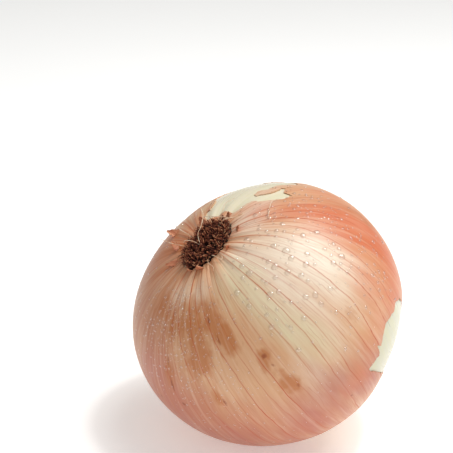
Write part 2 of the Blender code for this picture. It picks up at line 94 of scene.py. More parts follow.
back = np.array([
    math.sin(AZIMUTH) * math.cos(ELEVATION),
    -math.cos(AZIMUTH) * math.cos(ELEVATION),
    math.sin(ELEVATION),
])
right = np.array([math.cos(AZIMUTH), math.sin(AZIMUTH), 0.0])
up = np.cross(back, right)
print("the camera looks from", np.round(back, 2), "with", np.round(up, 2), "as up")


def unit(vectors):
    """Vectors over their own lengths."""
    return vectors / np.linalg.norm(vectors, axis=-1, keepdims=True).clip(1e-12)


def turned_to(direction, upwards):
    """A rotation whose local Z is the direction and whose local Y is as near upwards as can be."""
    z = unit(direction)
    x = unit(np.cross(upwards, z))
    return Matrix(np.stack([x, np.cross(z, x), z], axis=-1).tolist())


# %% The camera
lens = bpy.data.cameras.new("camera")
lens.lens, lens.sensor_width = 100, 36
camera = bpy.data.objects.new("camera", lens)
bpy.context.scene.collection.objects.link(camera)
bpy.context.scene.camera = camera
camera.location = MIDDLE + back * VIEW_DISTANCE - right * SLIDE_RIGHT - up * SLIDE_UP
camera.rotation_euler = turned_to(back, up).to_euler()
print("camera at", [round(v / MM) for v in camera.location], "mm")

# %% [markdown]
# Light and floor
#
# A wet onion wants one broad soft lamp overhead, which gives the skin its gleam on the shoulder,
# and a bright room all round, which keeps the underside warm and clear. A lamp as wide as it is
# far away gives shadows with no edge. The floor is a pale sheet that fills the view.

# %% A broad lamp and a bright room


def soft_lamp(name, direction, distance, width, watts):
    """A square lamp at the bulb's middle plus direction times distance, turned towards it."""
    lamp = bpy.data.lights.new(name, "AREA")
    lamp.size, lamp.energy = width, watts
    holder = bpy.data.objects.new(name, lamp)
    bpy.context.scene.collection.objects.link(holder)
    holder.location = MIDDLE + unit(direction) * distance
    holder.rotation_euler = turned_to(direction, back).to_euler()
    return holder


soft_lamp("overhead_softbox", 0.40 * right + 0.86 * up + 0.24 * back, 0.75, 0.55, 3.5)
soft_lamp("front_fill", 0.55 * right - 0.05 * up + 0.85 * back, 1.1, 0.9, 0.85)
soft_lamp("sparkle", 0.30 * right + 0.90 * up + 0.30 * back, 0.8, 0.08, 1.5)
room = bpy.data.worlds.new("bright_room")
bpy.context.scene.world = room
room.use_nodes = True
room.node_tree.nodes["Background"].inputs["Color"].default_value = (1.0, 0.99, 0.975, 1.0)
room.node_tree.nodes["Background"].inputs["Strength"].default_value = 0.4
bpy.context.scene.view_settings.view_transform = "Standard"

# %% [markdown]
# Small helpers for finishes
#
# Colours are given as hex values, as in any paint program, and Blender wants them linear. Node
# trees are long, so one function adds a node, sets it and joins it in a single line, one lays a
# shade over a colour, and one puts the finish on its piece.

# %% Colour and node helpers


def linear(shade):
    """Hex to linear colour: c / 12.92 when c is small, and else ((c + 0.055) / 1.055) to the power 2.4."""
    channels = np.array([int(shade[place:place + 2], 16) for place in (1, 3, 5)]) / 255
    curve = ((channels + 0.055) / 1.055) ** 2.4
    return (*np.where(channels <= 0.04045, channels / 12.92, curve).tolist(), 1.0)


def node(tree, kind, sockets=None, out=0, **settings):
    """Adds a shader node with its settings, joins or fills the sockets named, and gives one output."""
    made = tree.nodes.new("ShaderNode" + kind)
    for name, value in settings.items():
        setattr(made, name, value)
    for name, value in (sockets or {}).items():
        if isinstance(value, bpy.types.NodeSocket):
            tree.links.new(value, made.inputs[name])
        else:
            made.inputs[name].default_value = value
    return made.outputs[out] if made.outputs else None


def new_finish(name, **values):
    """A material with one Principled shader whose even values are set on its own sockets."""
    finish = bpy.data.materials.new(name)
    finish.use_nodes = True
    shader = finish.node_tree.nodes["Principled BSDF"]
    for socket, value in values.items():
        shader.inputs[socket.replace("_", " ")].default_value = value
    return finish, finish.node_tree


def laid_over(tree, colour, shade, mask, start, end, most=1.0):
    """Lays a shade over a colour: its share rises from 0 where the mask is start to most at end."""
    share = node(tree, "MapRange", {"Value": mask, "From Min": start, "From Max": end, "To Max": most})
    return node(tree, "MixRGB", {"Fac": share, 1: colour, 2: linear(shade)})


def wear(piece, finish, **sockets):
    """Joins what was worked out to the finish's own shader and puts the finish on a piece."""
    for socket, value in sockets.items():
        shader = finish.node_tree.nodes["Principled BSDF"]
        finish.node_tree.links.new(value, shader.inputs[socket.replace("_", " ")])
    piece.data.materials.append(finish)
    print(finish.name, "with", len(finish.node_tree.nodes), "nodes, on", piece.name)


print("amber as linear colour:", [round(v, 3) for v in linear("#B5702F")])

# %% The floor: a matt white acrylic sheet, lit a little from below as on a product table
FLOOR_HALF_WIDTH = 4.0
board = bpy.data.meshes.new("floor")
corners = [(-1, -1), (1, -1), (1, 1), (-1, 1)]
board.from_pydata([(x * FLOOR_HALF_WIDTH, y * FLOOR_HALF_WIDTH, 0.0) for x, y in corners], [], [(0, 1, 2, 3)])
floor = bpy.data.objects.new("floor", board)
bpy.context.scene.collection.objects.link(floor)
paint, tree = new_finish(
    "backlit_white_acrylic", Roughness=0.9, Emission_Color=linear("#FFFFFF"), Emission_Strength=0.32,
)
place = node(tree, "TexCoord", out="Object")
mottle = node(tree, "TexNoise", {"Vector": place, "Scale": 6.0, "Detail": 3.0})
tone = laid_over(tree, linear("#F6F6F4"), "#FAFAF8", mottle, 0.0, 1.0)
wear(floor, paint, Base_Color=tone)

# %% [markdown]
# The outline of an onion
#
# Cut an onion from root to neck and the cut edge is its meridian. A superellipse gives the
# flattened ball, a bell curve sinks the root end, and a logarithm draws the shoulder out into
# the neck. Working with arc length along this line means that a place on the skin is just two
# numbers, how far from the root and how far round, and the whole surface is one array.

# %% The meridian
ROOT_HALF_STEPS, TUBE_STEPS, BLEND_RADIUS = 600, 300, 20 * MM


def trace_meridian():
    """Arc length, radius, height and outward normal from the root pole to the tip of the neck.

    Root half: radius and height of a superellipse, less a bell curve in the middle. Neck half:
    a superellipse with the rise -log(1 - exp(-(radius - neck) / spread)) added towards the neck.
    """
    polar = np.linspace(0.0, math.pi / 2, ROOT_HALF_STEPS)
    swell = (np.sin(polar) ** SQUARENESS + np.cos(polar).clip(0) ** SQUARENESS) ** (-1 / SQUARENESS)
    root_radius = BELLY_RADIUS * swell * np.sin(polar)
    root_height = ROOT_END_HEIGHT * swell * np.cos(polar)
    root_height -= DIMPLE_DEPTH * np.exp(-((root_radius / DIMPLE_REACH) ** 2))
    shoulder = root_radius[root_radius > BLEND_RADIUS][::-1]
    tube = NECK_RADIUS + np.geomspace(BLEND_RADIUS - NECK_RADIUS, 0.05 * MM, TUBE_STEPS)
    radius = np.concatenate([shoulder, tube])
    share = (radius / BELLY_RADIUS).clip(0, 1)
    drop = NECK_END_HEIGHT * (1 - share**SQUARENESS) ** (1 / SQUARENESS)
    drop -= NECK_RISE * np.log(1 - np.exp(-(radius - NECK_RADIUS) / NECK_SPREAD))
    drop -= drop[0]
    kept = drop <= LEAF_REACH
    radius = np.concatenate([root_radius, radius[kept][1:]])
    height = np.concatenate([root_height, -drop[kept][1:]])
    arc = np.concatenate([[0.0], np.cumsum(np.hypot(np.diff(radius), np.diff(height)))])
    slope_r, slope_z = np.gradient(radius, arc), np.gradient(height, arc)
    size = np.hypot(slope_r, slope_z)
    return arc, radius, height, -slope_z / size, slope_r / size


ARC, RADIUS, HEIGHT, NORMAL_R, NORMAL_Z = trace_meridian()
NECK_RIM = float(np.interp(NECK_REACH, -HEIGHT[ROOT_HALF_STEPS:], ARC[ROOT_HALF_STEPS:]))


def polar_angle(radius, height):
    """Degrees from the root pole on a ball: arctangent of (radius / belly) over (height / end height)."""
    squash = np.where(height > 0, ROOT_END_HEIGHT, NECK_END_HEIGHT)
    return np.degrees(np.arctan2(radius / BELLY_RADIUS, height / squash))


POLAR = polar_angle(RADIUS, HEIGHT)


def arc_at(polar):
    """Arc length from the root pole to the place at this polar angle."""
    return np.interp(polar, POLAR, ARC)


print("root pole to neck rim:", round(NECK_RIM / MM, 1), "mm along the skin")

# %% Slow lumps, root pleats and neck folds, as the solids have them
OVAL, THREE_SIDED = (0.011, math.radians(126)), (0.013, math.radians(25))
NECK_BEND, NECK_BEND_TURN, NECK_BEND_START = 2.2 * MM, math.radians(60), 30.0 * MM
FLAT_POLAR, FLAT_TURN, FLAT_SPREAD, FLAT_DEPTH = 119, math.radians(288), math.radians(24), 1.2 * MM
BODY_HEIGHT = float(MIDDLE[2])
PLEAT_HEIGHT, PLEAT_PLACE, PLEAT_REACH = 0.3 * MM, 12.0 * MM, 8.0 * MM
FOLD_HEIGHT, FOLD_REACH = 0.55 * MM, 9.0 * MM


def even_turns(count):
    """Angles round the axis at this many even steps, in radians."""
    return np.arange(count) * 2 * math.pi / count


def way_round(turn, middle):
    """The shorter way round from the middle to the turn: (turn - middle + pi) mod 2 pi, less pi."""
    return (turn - middle + math.pi) % (2 * math.pi) - math.pi


def flattening(arc, turn):
    """A broad shallow flat below the side tear: a bell of the distance from its middle."""
    off = way_round(turn, FLAT_TURN)
    down = (arc - arc_at(FLAT_POLAR)) / (BELLY_RADIUS * FLAT_SPREAD)
    return FLAT_DEPTH * np.exp(-(down**2) - (off / FLAT_SPREAD) ** 2)


def relief(arc, turn):
    """Height over the turned outline: cos(2 turn) and cos(3 turn) round the belly, less the flat, plus
    pleats cos(16 turn) near the root and folds cos(12 turn) near the neck, each faded by a bell."""
    share = (np.interp(arc, ARC, RADIUS) / BELLY_RADIUS) ** 2
    oval = OVAL[0] * np.cos(2 * (turn - OVAL[1]))
    three_sided = THREE_SIDED[0] * np.cos(3 * (turn - THREE_SIDED[1]))
    near_root = np.exp(-(((arc - PLEAT_PLACE) / PLEAT_REACH) ** 2))
    near_neck = np.exp(-((NECK_RIM - arc).clip(0) / FOLD_REACH))
    lumps = BELLY_RADIUS * share * (oval + three_sided) - flattening(arc, turn)
    folds = FOLD_HEIGHT * near_neck * np.cos(12 * turn + 0.8 * np.sin(2 * turn))
    return lumps + PLEAT_HEIGHT * near_root * np.cos(16 * turn) + folds


print("relief at the belly:", np.round(relief(arc_at(90.0), np.radians([0, 90, 180, 270])) / MM, 2), "mm")

# %% From a place on the skin to a point in the scene


def growth_points(arc, turn, depth=0.0, detail=None):
    """Points in the onion's own frame, root end up: outline plus normal times (relief - depth).

    What would lie under the floor is lifted on to it, which makes the small flat that it rests on.
    """
    arc, turn = np.broadcast_arrays(arc, turn)
    out = relief(arc, turn) - depth + (0.0 if detail is None else detail)
    radius = np.interp(arc, ARC, RADIUS) + np.interp(arc, ARC, NORMAL_R) * out
    height = np.interp(arc, ARC, HEIGHT) + np.interp(arc, ARC, NORMAL_Z) * out
    bend = NECK_BEND * ((-height - NECK_BEND_START).clip(0) / (NECK_REACH - NECK_BEND_START)) ** 2
    x = radius * np.cos(turn) + bend * math.cos(NECK_BEND_TURN)
    y = radius * np.sin(turn) + bend * math.sin(NECK_BEND_TURN)
    points = np.stack([x, y, height], axis=-1)
    floor_up = np.array([math.sin(LEAN), 0.0, math.cos(LEAN)])
    above = BODY_HEIGHT + points @ floor_up - depth
    return points - np.minimum(above, 0.0)[..., None] * floor_up


def lean(points):
    """Turns points by the lean about Y and moves them to where the bulb's middle is."""
    x, y, z = np.moveaxis(np.asarray(points), -1, 0)
    cos, sin = math.cos(LEAN), math.sin(LEAN)
    return np.stack([x * cos - z * sin, y, x * sin + z * cos], axis=-1) + MIDDLE


print("highest point of the root end:", np.round(lean(growth_points(arc_at(12.0), 0.0)) / MM, 1), "mm")

# %% [markdown]
# From arrays to a mesh
#
# Every piece here is made of rings of points, so one function can close them all: quads between
# one ring and the next, and either the last ring joined to the first, for a thin shell, or a
# ring drawn to a point at each end. The vertices go in already leaned and in place, so that the
# object itself stays at the origin.

# %% Rings into faces


def ring_faces(rings, columns, looped):
    """Quads between rings of this many columns, as rows of four vertex numbers."""
    index = np.arange(rings * columns).reshape(rings, columns)
    if looped:
        index = np.vstack([index, index[:1]])
    beside = np.roll(index, -1, axis=1)
    return np.stack([index[:-1], index[1:], beside[1:], beside[:-1]], axis=-1).reshape(-1, 4)


def with_poles(rings):
    """The same rings with one more at each end, shrunk to the middle of the first and last."""
    first = np.repeat(rings[:1].mean(axis=1, keepdims=True), rings.shape[1], axis=1)
    last = np.repeat(rings[-1:].mean(axis=1, keepdims=True), rings.shape[1], axis=1)
    return np.concatenate([first, rings, last])


def stacked(pieces, looped):
    """Points and faces of several pieces made of rings, each piece's vertex numbers moved on."""
    sizes = [rings.shape[0] * rings.shape[1] for rings in pieces]
    starts = np.cumsum([0, *sizes[:-1]])
    faces = [ring_faces(*rings.shape[:2], looped) + start for rings, start in zip(pieces, starts)]
    return np.concatenate([rings.reshape(-1, 3) for rings in pieces]), np.concatenate(faces)


def store(mesh, name, values):
    """Keeps one number or one vector for each vertex, under a name that a material can read."""
    kind, field = ("FLOAT_VECTOR", "vector") if values.ndim == 2 else ("FLOAT", "value")
    mesh.attributes.new(name, kind, "POINT").data.foreach_set(field, values.astype(np.float32).ravel())


def mesh_of(name, points, faces, sharp_over=35, marks=None):
    """A mesh of points and faces with its doubles merged, its faces outwards and its edges eased."""
    mesh = bpy.data.meshes.new(name)
    corners = faces if isinstance(faces, list) else faces.tolist()
    mesh.from_pydata(np.asarray(points).reshape(-1, 3), [], corners)
    for mark, values in (marks or {}).items():
        store(mesh, mark, values)
    work = bmesh.new()
    work.from_mesh(mesh)
    bmesh.ops.remove_doubles(work, verts=work.verts, dist=0.00001 * MM)
    bmesh.ops.dissolve_degenerate(work, edges=work.edges, dist=0.00001 * MM)
    bmesh.ops.recalc_face_normals(work, faces=work.faces)
    work.to_mesh(mesh)
    work.free()
    mesh.shade_smooth()
    mesh.set_sharp_from_angle(angle=math.radians(sharp_over))
    return mesh


def show(name, mesh, body="root"):
    """Links a mesh as a piece that rides on a body of the model."""
    piece = bpy.data.objects.new(name, mesh)
    bpy.context.scene.collection.objects.link(piece)
    mesh.materials.clear()
    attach(piece, body)
    print(name, len(mesh.polygons), "faces")
    return piece


print("a band between two rings of four points:", ring_faces(2, 4, looped=False).tolist())

# %% [markdown]
# Where each shade lies
#
# An onion skin isn't one colour. It is cream where the sun never reached, green-tinged under
# thin skin, rose and orange where the pigment is strong, and amber where it is bruised and
# wet. Some bells paint light and shade as well: the cream on the upper shoulder is partly a
# painted highlight, the tan on the left side is partly painted shade, and the rose is partly
# painted shade that darkens the lower edge, most of all on the right. Each shade is a handful of
# soft bells laid on the skin by polar angle and longitude. The mesh stores how strong each one
# is at every vertex, and the material breaks up its edges.

# %% Bells of shade: polar angle, longitude, reach both ways in degrees, strength
SHADES = {
    # tan: brown skin, and round longitudes 118 to 208 also painted shade on the left side away from the lamps
    "tan": [
        (45, 172, 30, 30, 0.95), (30, 118, 22, 40, 0.95), (72, 168, 22, 22, 0.9), (20, 80, 12, 60, 0.7),
        (75, 208, 16, 18, 0.5), (60, 340, 26, 10, 0.5), (95, 30, 30, 30, 0.5), (140, 180, 20, 60, 0.6),
    ],
    # cream: pale skin, and round longitudes 271 to 308 on the upper shoulder also a painted highlight
    "cream": [
        (36, 292, 20, 24, 1.0), (60, 294, 18, 16, 0.75), (22, 278, 9, 24, 0.6), (76, 270, 14, 16, 0.4),
        (50, 308, 12, 8, 0.5), (20, 335, 9, 24, 0.8), (50, 30, 20, 30, 0.5), (60, 110, 20, 20, 0.2),
        (145, 60, 20, 50, 0.4), (22, 228, 8, 26, 0.35), (92, 256, 12, 18, 0.35), (27, 350, 8, 20, 0.6),
        (50, 271, 18, 12, 0.7), (24, 196, 8, 26, 0.45),
    ],
    "green": [
        (46, 259, 26, 10, 0.7), (30, 250, 12, 14, 0.4), (66, 268, 12, 9, 0.5), (32, 60, 14, 30, 0.5),
        (80, 60, 30, 14, 0.5), (150, 250, 20, 60, 0.5), (24, 262, 12, 26, 0.5),
    ],
    # rose: pigment, and on the underside also painted shade of the lower edge, strongest round longitudes 272
    # to 320
    "rose": [
        (98, 206, 22, 26, 1.0), (84, 184, 20, 18, 0.85), (102, 240, 17, 32, 0.85), (72, 196, 12, 14, 0.5),
        (106, 272, 11, 16, 0.6), (100, 150, 26, 30, 0.8), (95, 100, 24, 22, 0.5), (125, 320, 20, 40, 0.4),
        (125, 215, 20, 50, 0.9), (82, 238, 10, 20, 0.35), (109, 290, 14, 26, 1.0), (90, 262, 8, 14, 0.5),
        (62, 180, 14, 16, 0.8),
    ],
    "orange": [
        (78, 322, 28, 12, 1.0), (62, 326, 22, 12, 0.85), (42, 332, 18, 12, 0.65), (97, 306, 12, 12, 0.5),
        (98, 267, 8, 9, 0.5), (74, 300, 12, 10, 0.4), (88, 283, 12, 10, 0.45), (60, 352, 16, 10, 0.5),
        (80, 20, 26, 16, 0.7), (110, 80, 24, 20, 0.5), (25, 345, 8, 16, 0.5), (110, 350, 20, 16, 0.6),
        (72, 334, 20, 8, 0.6), (92, 312, 14, 12, 0.7),
    ],
    "amber": [
        (37, 226, 8, 8, 1.0), (45, 233, 9, 5.5, 1.0), (36, 196, 7, 12, 0.95), (51, 213, 8, 10, 0.95),
        (60, 244.5, 5, 4, 1.0), (74.5, 247, 6, 5, 1.0), (69, 216, 5, 3, 0.85), (58, 191.5, 9, 4, 0.95),
        (30, 178, 8, 10, 0.7), (38, 212, 7, 7, 0.9),
        (28, 212, 5, 20, 0.6), (36, 66, 8, 16, 0.8), (76, 338, 12, 8, 0.6), (70, 130, 14, 10, 0.8),
        (130, 110, 14, 20, 0.8), (90, 40, 12, 8, 0.8), (14, 110, 8, 30, 0.6), (72, 283, 5, 3, 0.6),
    ],
    "blemish": [
        (63, 192, 3.6, 0.8, 1.0), (58.5, 245, 1.3, 1.6, 0.8), (36, 225, 2.2, 0.8, 0.9),
        (45, 228, 3.0, 0.7, 0.8), (72, 218, 2.2, 0.8, 0.8), (73.5, 195, 1.2, 1.0, 1.0),
        (64, 246, 1.0, 0.9, 0.7), (78, 249, 1.6, 0.9, 0.6), (52, 192, 4.0, 0.6, 0.6),
        (75, 179, 2.4, 0.7, 0.7), (104, 262, 1.0, 0.7, 0.6), (92, 284, 0.9, 0.8, 0.6),
        (70, 90, 4.0, 1.0, 0.9), (95, 60, 3.0, 1.0, 0.8), (84, 20, 2.4, 0.8, 0.7),
    ],
}


def bell_strength(bells, polar, turn):
    """One minus the product of (1 - strength * exp(-(distance / reach) ** 2)) over the bells."""
    left = np.ones_like(polar)
    for middle, longitude, reach, spread, strength in bells:
        round_way = (turn - longitude + 180) % 360 - 180
        left *= 1 - strength * np.exp(-(((polar - middle) / reach) ** 2) - (round_way / spread) ** 2)
    return 1 - left


print("shades:", {name: len(bells) for name, bells in SHADES.items()})

# %% [markdown]
# Where the veins run
#
# The main veins leave the roots and end in the neck, and no two are evenly spaced. Those in sight
# are listed by the longitudes that they pass, and the hidden ones follow at even steps with a
# small random shift. Between two neighbours a phase runs evenly from one whole number to the
# next, so a material finds every vein where the phase is whole.

# %% Veins: longitude at polar angles 30, 60 and 90, and how dark each one is
READ_VEINS = [
    (164, 169, 173, 0.4), (170, 175, 179, 0.5), (176, 180, 183, 0.5), (182, 185, 188, 0.6),
    (187, 191, 195, 0.9), (193, 198, 201.5, 0.6), (198, 207, 211, 0.8), (209.5, 215, 219, 0.9),
    (215.5, 222.3, 225, 0.6), (222, 229.6, 231, 1.0), (231, 236, 238.5, 0.5), (240, 242.5, 244, 0.9),
    (247, 249.5, 250, 0.35), (255, 257, 256, 0.45), (266, 265, 262, 0.8), (271.5, 270.7, 268, 0.7),
    (278, 276, 274, 0.35), (284.5, 281.3, 279, 0.7), (295.8, 289.8, 284, 0.9), (306.5, 298.7, 293.3, 0.85),
    (312, 304, 298, 0.5), (319, 310, 302.5, 0.8), (322.5, 315.5, 310, 0.6), (326, 321, 317.5, 1.0),
    (332, 329, 322.5, 0.9), (340, 336, 330, 0.7), (348, 343, 337, 0.6),
]
HIDDEN_VEINS, HIDDEN_START, HIDDEN_END, SHIFT = 29, 354, 517, 1.6
shifts = np.random.default_rng(21).uniform(-SHIFT, SHIFT, (HIDDEN_VEINS, 3))
hidden = np.linspace(HIDDEN_START, HIDDEN_END, HIDDEN_VEINS)[:, None] + shifts
hidden_darkness = np.random.default_rng(22).uniform(0.3, 1.0, HIDDEN_VEINS)
veins = np.vstack([READ_VEINS, np.column_stack([hidden, hidden_darkness])])
VEIN_POLARS = (10, 30, 60, 90, 150)
near, middle, far = veins[:, 0], veins[:, 1], veins[:, 2]
VEIN_PLACES = np.column_stack([near - (middle - near) / 3, near, middle, far, far + (far - middle) / 2])
print("veins:", len(veins))


def vein_marks(polar, turn):
    """Phase, gap in degrees and darkness. Between two veins the phase runs evenly from one whole
    number to the next, and the darkness is the nearest vein's, swelling and fading along its way."""
    places = np.stack([np.interp(polar, VEIN_POLARS, place) for place in VEIN_PLACES], axis=-1)
    off = (turn - places[:, 0]) % 360
    places = np.column_stack([places - places[:, :1], np.full(len(polar), 360.0)])
    before = (places[:, :-1] <= off[:, None]).sum(axis=1) - 1
    row = np.arange(len(polar))
    gap = places[row, before + 1] - places[row, before]
    phase = before + (off - places[row, before]) / gap
    nearest = np.round(phase).astype(int) % len(veins)
    swell = 0.72 + 0.28 * np.cos(polar / 9 + nearest * 2.4) * np.cos(polar / 23 + nearest * 1.7)
    return phase, gap, veins[nearest, 3] * swell


# %% Marks that a material can follow: direction round the axis, arc, veins and the shades


def mark_growth(mesh):
    """Reads each vertex's place on the onion back from its position and stores it in the mesh.

    spoke is (cos longitude, sin longitude, arc in centimetres). vein is (cos, sin) of the vein
    phase times 2 pi, and the darkness; vein_gap is the way from one vein to the next in mm.
    """
    place = np.empty(len(mesh.vertices) * 3, np.float32)
    mesh.vertices.foreach_get("co", place)
    place = place.reshape(-1, 3) - MIDDLE
    cos, sin = math.cos(LEAN), math.sin(LEAN)
    x, y, z = place[:, 0] * cos + place[:, 2] * sin, place[:, 1], place[:, 2] * cos - place[:, 0] * sin
    girth = np.hypot(x, y)
    polar, turn = polar_angle(girth, z), np.degrees(np.arctan2(y, x))
    phase, gap, dark = vein_marks(polar, turn)
    vectors = {
        "spoke": np.stack([x / girth.clip(1e-6), y / girth.clip(1e-6), arc_at(polar) * 100], axis=-1),
        "vein": np.stack([np.cos(2 * math.pi * phase), np.sin(2 * math.pi * phase), dark], axis=-1),
    }
    shades = {name: bell_strength(bells, polar, turn) for name, bells in SHADES.items()}
    for name, values in {**vectors, **shades, "vein_gap": np.radians(gap) * girth / MM}.items():
        store(mesh, name, values)


print("marks: spoke, vein, vein_gap and", ", ".join(SHADES))

# %% [markdown]
# The tunic: a fine shell
#
# The dry outer skin is one or two papery leaves. It is worked out as an outer and an inner
# surface a third of a millimetre apart, joined at a frayed root rim and a frayed neck rim. The
# fine relief on top of the solids' slow lumps is made of cosines: tight radial creases that
# leave the roots, shallow buckles on the belly, and deep folds that gather at the neck.

# %% The oval root plate, rows that crowd where the outline bends, and the fine relief
PLATE_LONG, PLATE_SHORT, GAP = 9.3 * MM, 6.4 * MM, 0.3 * MM
RIM_CLEARANCE, SKIN_THICKNESS, FIRST_ROW = 0.4 * MM, 0.3 * MM, 13.0 * MM
COLUMNS, OUTER_ROWS, INNER_ROWS = 448, 154, 42
CREASE, BUCKLE, GATHER = 0.065 * MM, 0.035 * MM, 0.16 * MM


def plate_reach(turn):
    """Radius of the oval plate: one over the length of (cos / long axis, sin / short axis)."""
    return 1 / np.hypot(np.cos(turn) / PLATE_LONG, np.sin(turn) / PLATE_SHORT)


def from_root_edge(root_edge, rows, steps=6):
    """Rows that ease from an edge round the oval plate to the first even row, then the even rows."""
    drawn_in = root_edge + (rows[0] - root_edge) * (np.arange(steps) / steps)[:, None]
    return np.concatenate([drawn_in, np.repeat(rows[:, None], len(root_edge), axis=1)])


def spaced_rows(start, end, count):
    """Arc lengths from start to end, with a density that is the root of the outline's bend."""
    bend = np.hypot(np.gradient(NORMAL_R, ARC), np.gradient(NORMAL_Z, ARC))
    density = np.sqrt(bend.clip(1 / BELLY_RADIUS, 1 / (6.0 * MM)))
    total = np.concatenate([[0.0], np.cumsum((density[1:] + density[:-1]) / 2 * np.diff(ARC))])
    first, last = np.interp([start, end], ARC, total)
    return np.interp(np.linspace(first, last, count), total, ARC)


def ragged(turn, seed, slowest=5, fastest=110):
    """A frayed edge from 0 to 1 round the rim: many cosines with random phases, faster ones lower."""
    draw = np.random.default_rng(seed)
    counts = np.unique(np.geomspace(slowest, fastest, 26).astype(int))
    heights = counts**-0.45 * draw.uniform(0.4, 1.0, len(counts))
    waves = heights[:, None] * np.cos(counts[:, None] * turn + draw.uniform(0, 2 * math.pi, (len(counts), 1)))
    total = waves.sum(axis=0)
    return (total - total.min()) / np.ptp(total)


def crease(arc, turn):
    """Fine relief: cos(47 turn) and cos(71 turn) near the root, slanting cosines of 9 and 15 turns on
    the belly, and cos(29 turn) and cos(43 turn) near the neck, each times its height and its place."""
    near_root = np.exp(-(((arc - 11.0 * MM) / (6.5 * MM)) ** 2))
    near_neck = np.exp(-((NECK_RIM - arc).clip(0) / (13.0 * MM)))
    radial = np.cos(47 * turn + 1.7 * np.sin(3 * turn)) + 0.6 * np.cos(71 * turn + 2.1 * np.sin(5 * turn))
    buckle = np.cos(9 * turn + arc / (9 * MM)) * np.cos(arc / (13 * MM) + 2 * turn)
    buckle += 0.7 * np.cos(15 * turn - arc / (17 * MM)) * np.cos(arc / (7 * MM) - 1.0)
    gathered = np.cos(29 * turn + 1.2 * np.sin(4 * turn)) + 0.5 * np.cos(43 * turn)
    belly = 1 - near_root - near_neck
    return CREASE * near_root * radial + BUCKLE * belly * buckle + GATHER * near_neck * gathered


print("root rim:", np.round(plate_reach(np.radians([0, 90])) / MM, 1), "mm from the root pole")

# %% [markdown]
# Tears
#
# Dry skin splits along its veins and snaps across them, so a tear has long straight sides and
# jagged ends. Each tear is a short list of corners. Every side is halved four times, each new
# point pushed a little to one side, which is how a torn paper edge can be made from few numbers.

# %% Torn outlines
SIDE_TEAR = (
    (108.5, 312.5), (98.5, 306), (99, 302), (97, 298), (95.2, 294), (95.5, 290), (97.5, 287),
    (99.5, 284.5), (96.5, 283), (102.5, 281.5), (101.5, 277.5), (101.2, 274), (103.8, 274.2),
    (107, 275.7), (111.5, 277.2), (116, 278.6), (122, 280), (130, 282.5), (136, 289), (137, 300),
    (133, 310), (125, 318), (117, 321),
)
TOP_TEAR = (
    (17.5, 9), (18.3, 5.5), (19.5, 3), (22, 4), (24.5, 3.5), (26.5, 2), (29, 354), (32.5, 351),
    (35.5, 348.5), (39, 348), (42, 349), (41, 352.5), (40, 355.5), (41.5, 358), (44, 0.5), (42.5, 3.5),
    (40.5, 1.5), (38.5, 0.5), (35.5, 1), (32.5, 4), (30.5, 6.5), (31, 10), (33.5, 11.5), (36, 8.5),
    (39, 8), (41.5, 8.5), (45, 8.5), (48.5, 7), (52.5, 4.5), (58, 11), (61, 21), (54, 29), (56, 38),
    (49, 46), (43, 52), (36, 53), (31, 49), (26.5, 49.5), (23, 51), (22.5, 56), (20, 58), (15.5, 55),
    (15, 47), (15.8, 39), (17, 29), (17.8, 18),
)


def torn_outline(corners, seed, halvings=4, sway=0.15):
    """Halves each side again and again, each new point moved aside by a share of the side."""
    draw = np.random.default_rng(seed)
    points = np.array([(arc_at(polar), math.radians(turn)) for polar, turn in corners])
    points[:, 1] = np.unwrap(points[:, 1])
    for _ in range(halvings):
        side = np.roll(points, -1, axis=0) - points
        radius = np.interp(points[:, 0], ARC, RADIUS)
        across = np.stack([-side[:, 1] * radius, side[:, 0] / radius], axis=-1)
        middle = points + side / 2 + draw.uniform(-sway, sway, len(points))[:, None] * across
        points = np.stack([points, middle], axis=1).reshape(-1, 2)
    return points


TEARS = {"side": torn_outline(SIDE_TEAR, 3), "top": torn_outline(TOP_TEAR, 5)}
print("corners of the torn edges:", {name: len(line) for name, line in TEARS.items()})

# %% How far a place is from a torn edge, and whether it is inside it
SEARCH_ALONG, SEARCH_ROUND = 25 * MM, 40 * MM


def torn_distance(arc, turn):
    """Distance in metres to the nearest torn edge, with arc and girth as the two directions."""
    nearest = np.full(np.broadcast(arc, turn).shape, 1.0)
    arc, turn = np.broadcast_arrays(arc, turn)
    for line in TEARS.values():
        girth = np.interp(line[:, 0].mean(), ARC, RADIUS)
        off = way_round(turn, line[:, 1].mean())
        around = off + line[:, 1].mean()
        close = (np.abs(arc - line[:, 0].mean()) < SEARCH_ALONG) & (np.abs(off) * girth < SEARCH_ROUND)
        spot = np.stack([arc[close], around[close] * np.interp(arc[close], ARC, RADIUS)], axis=-1)
        edge = np.stack([line[:, 0], line[:, 1] * np.interp(line[:, 0], ARC, RADIUS)], axis=-1)
        far = nearest[close]
        for corner in edge:
            far = np.minimum(far, np.hypot(*(spot - corner).T))
        nearest[close] = far
    return nearest


def inside_tear(arc, turn):
    """Counts how often a line along the meridian crosses the torn edge: an odd count is inside."""
    inside = np.zeros(np.shape(arc), bool)
    for line in TEARS.values():
        around = way_round(turn, line[:, 1].mean()) + line[:, 1].mean()
        after = np.roll(line, -1, axis=0)
        for (arc_a, turn_a), (arc_b, turn_b) in zip(line, after):
            crosses = (turn_a > around) != (turn_b > around)
            reach = arc_a + (around - turn_a) / (turn_b - turn_a + 1e-12) * (arc_b - arc_a)
            inside ^= crosses & (arc < reach)
    return inside


print("inside the side tear:", inside_tear(arc_at([108.0]), np.radians([295.0])))

# %% The shell itself, sinking on to the bulb towards each torn edge
EDGE_SINK, EDGE_REACH = 0.17 * MM, 1.5 * MM
ROOT_FRAY, NECK_FRAY, NECK_MARGIN = 0.6 * MM, 2.6 * MM, 3 * MM
PLUG_FLOOR, PLUG_TOP = 3.0 * MM, 6.0 * MM


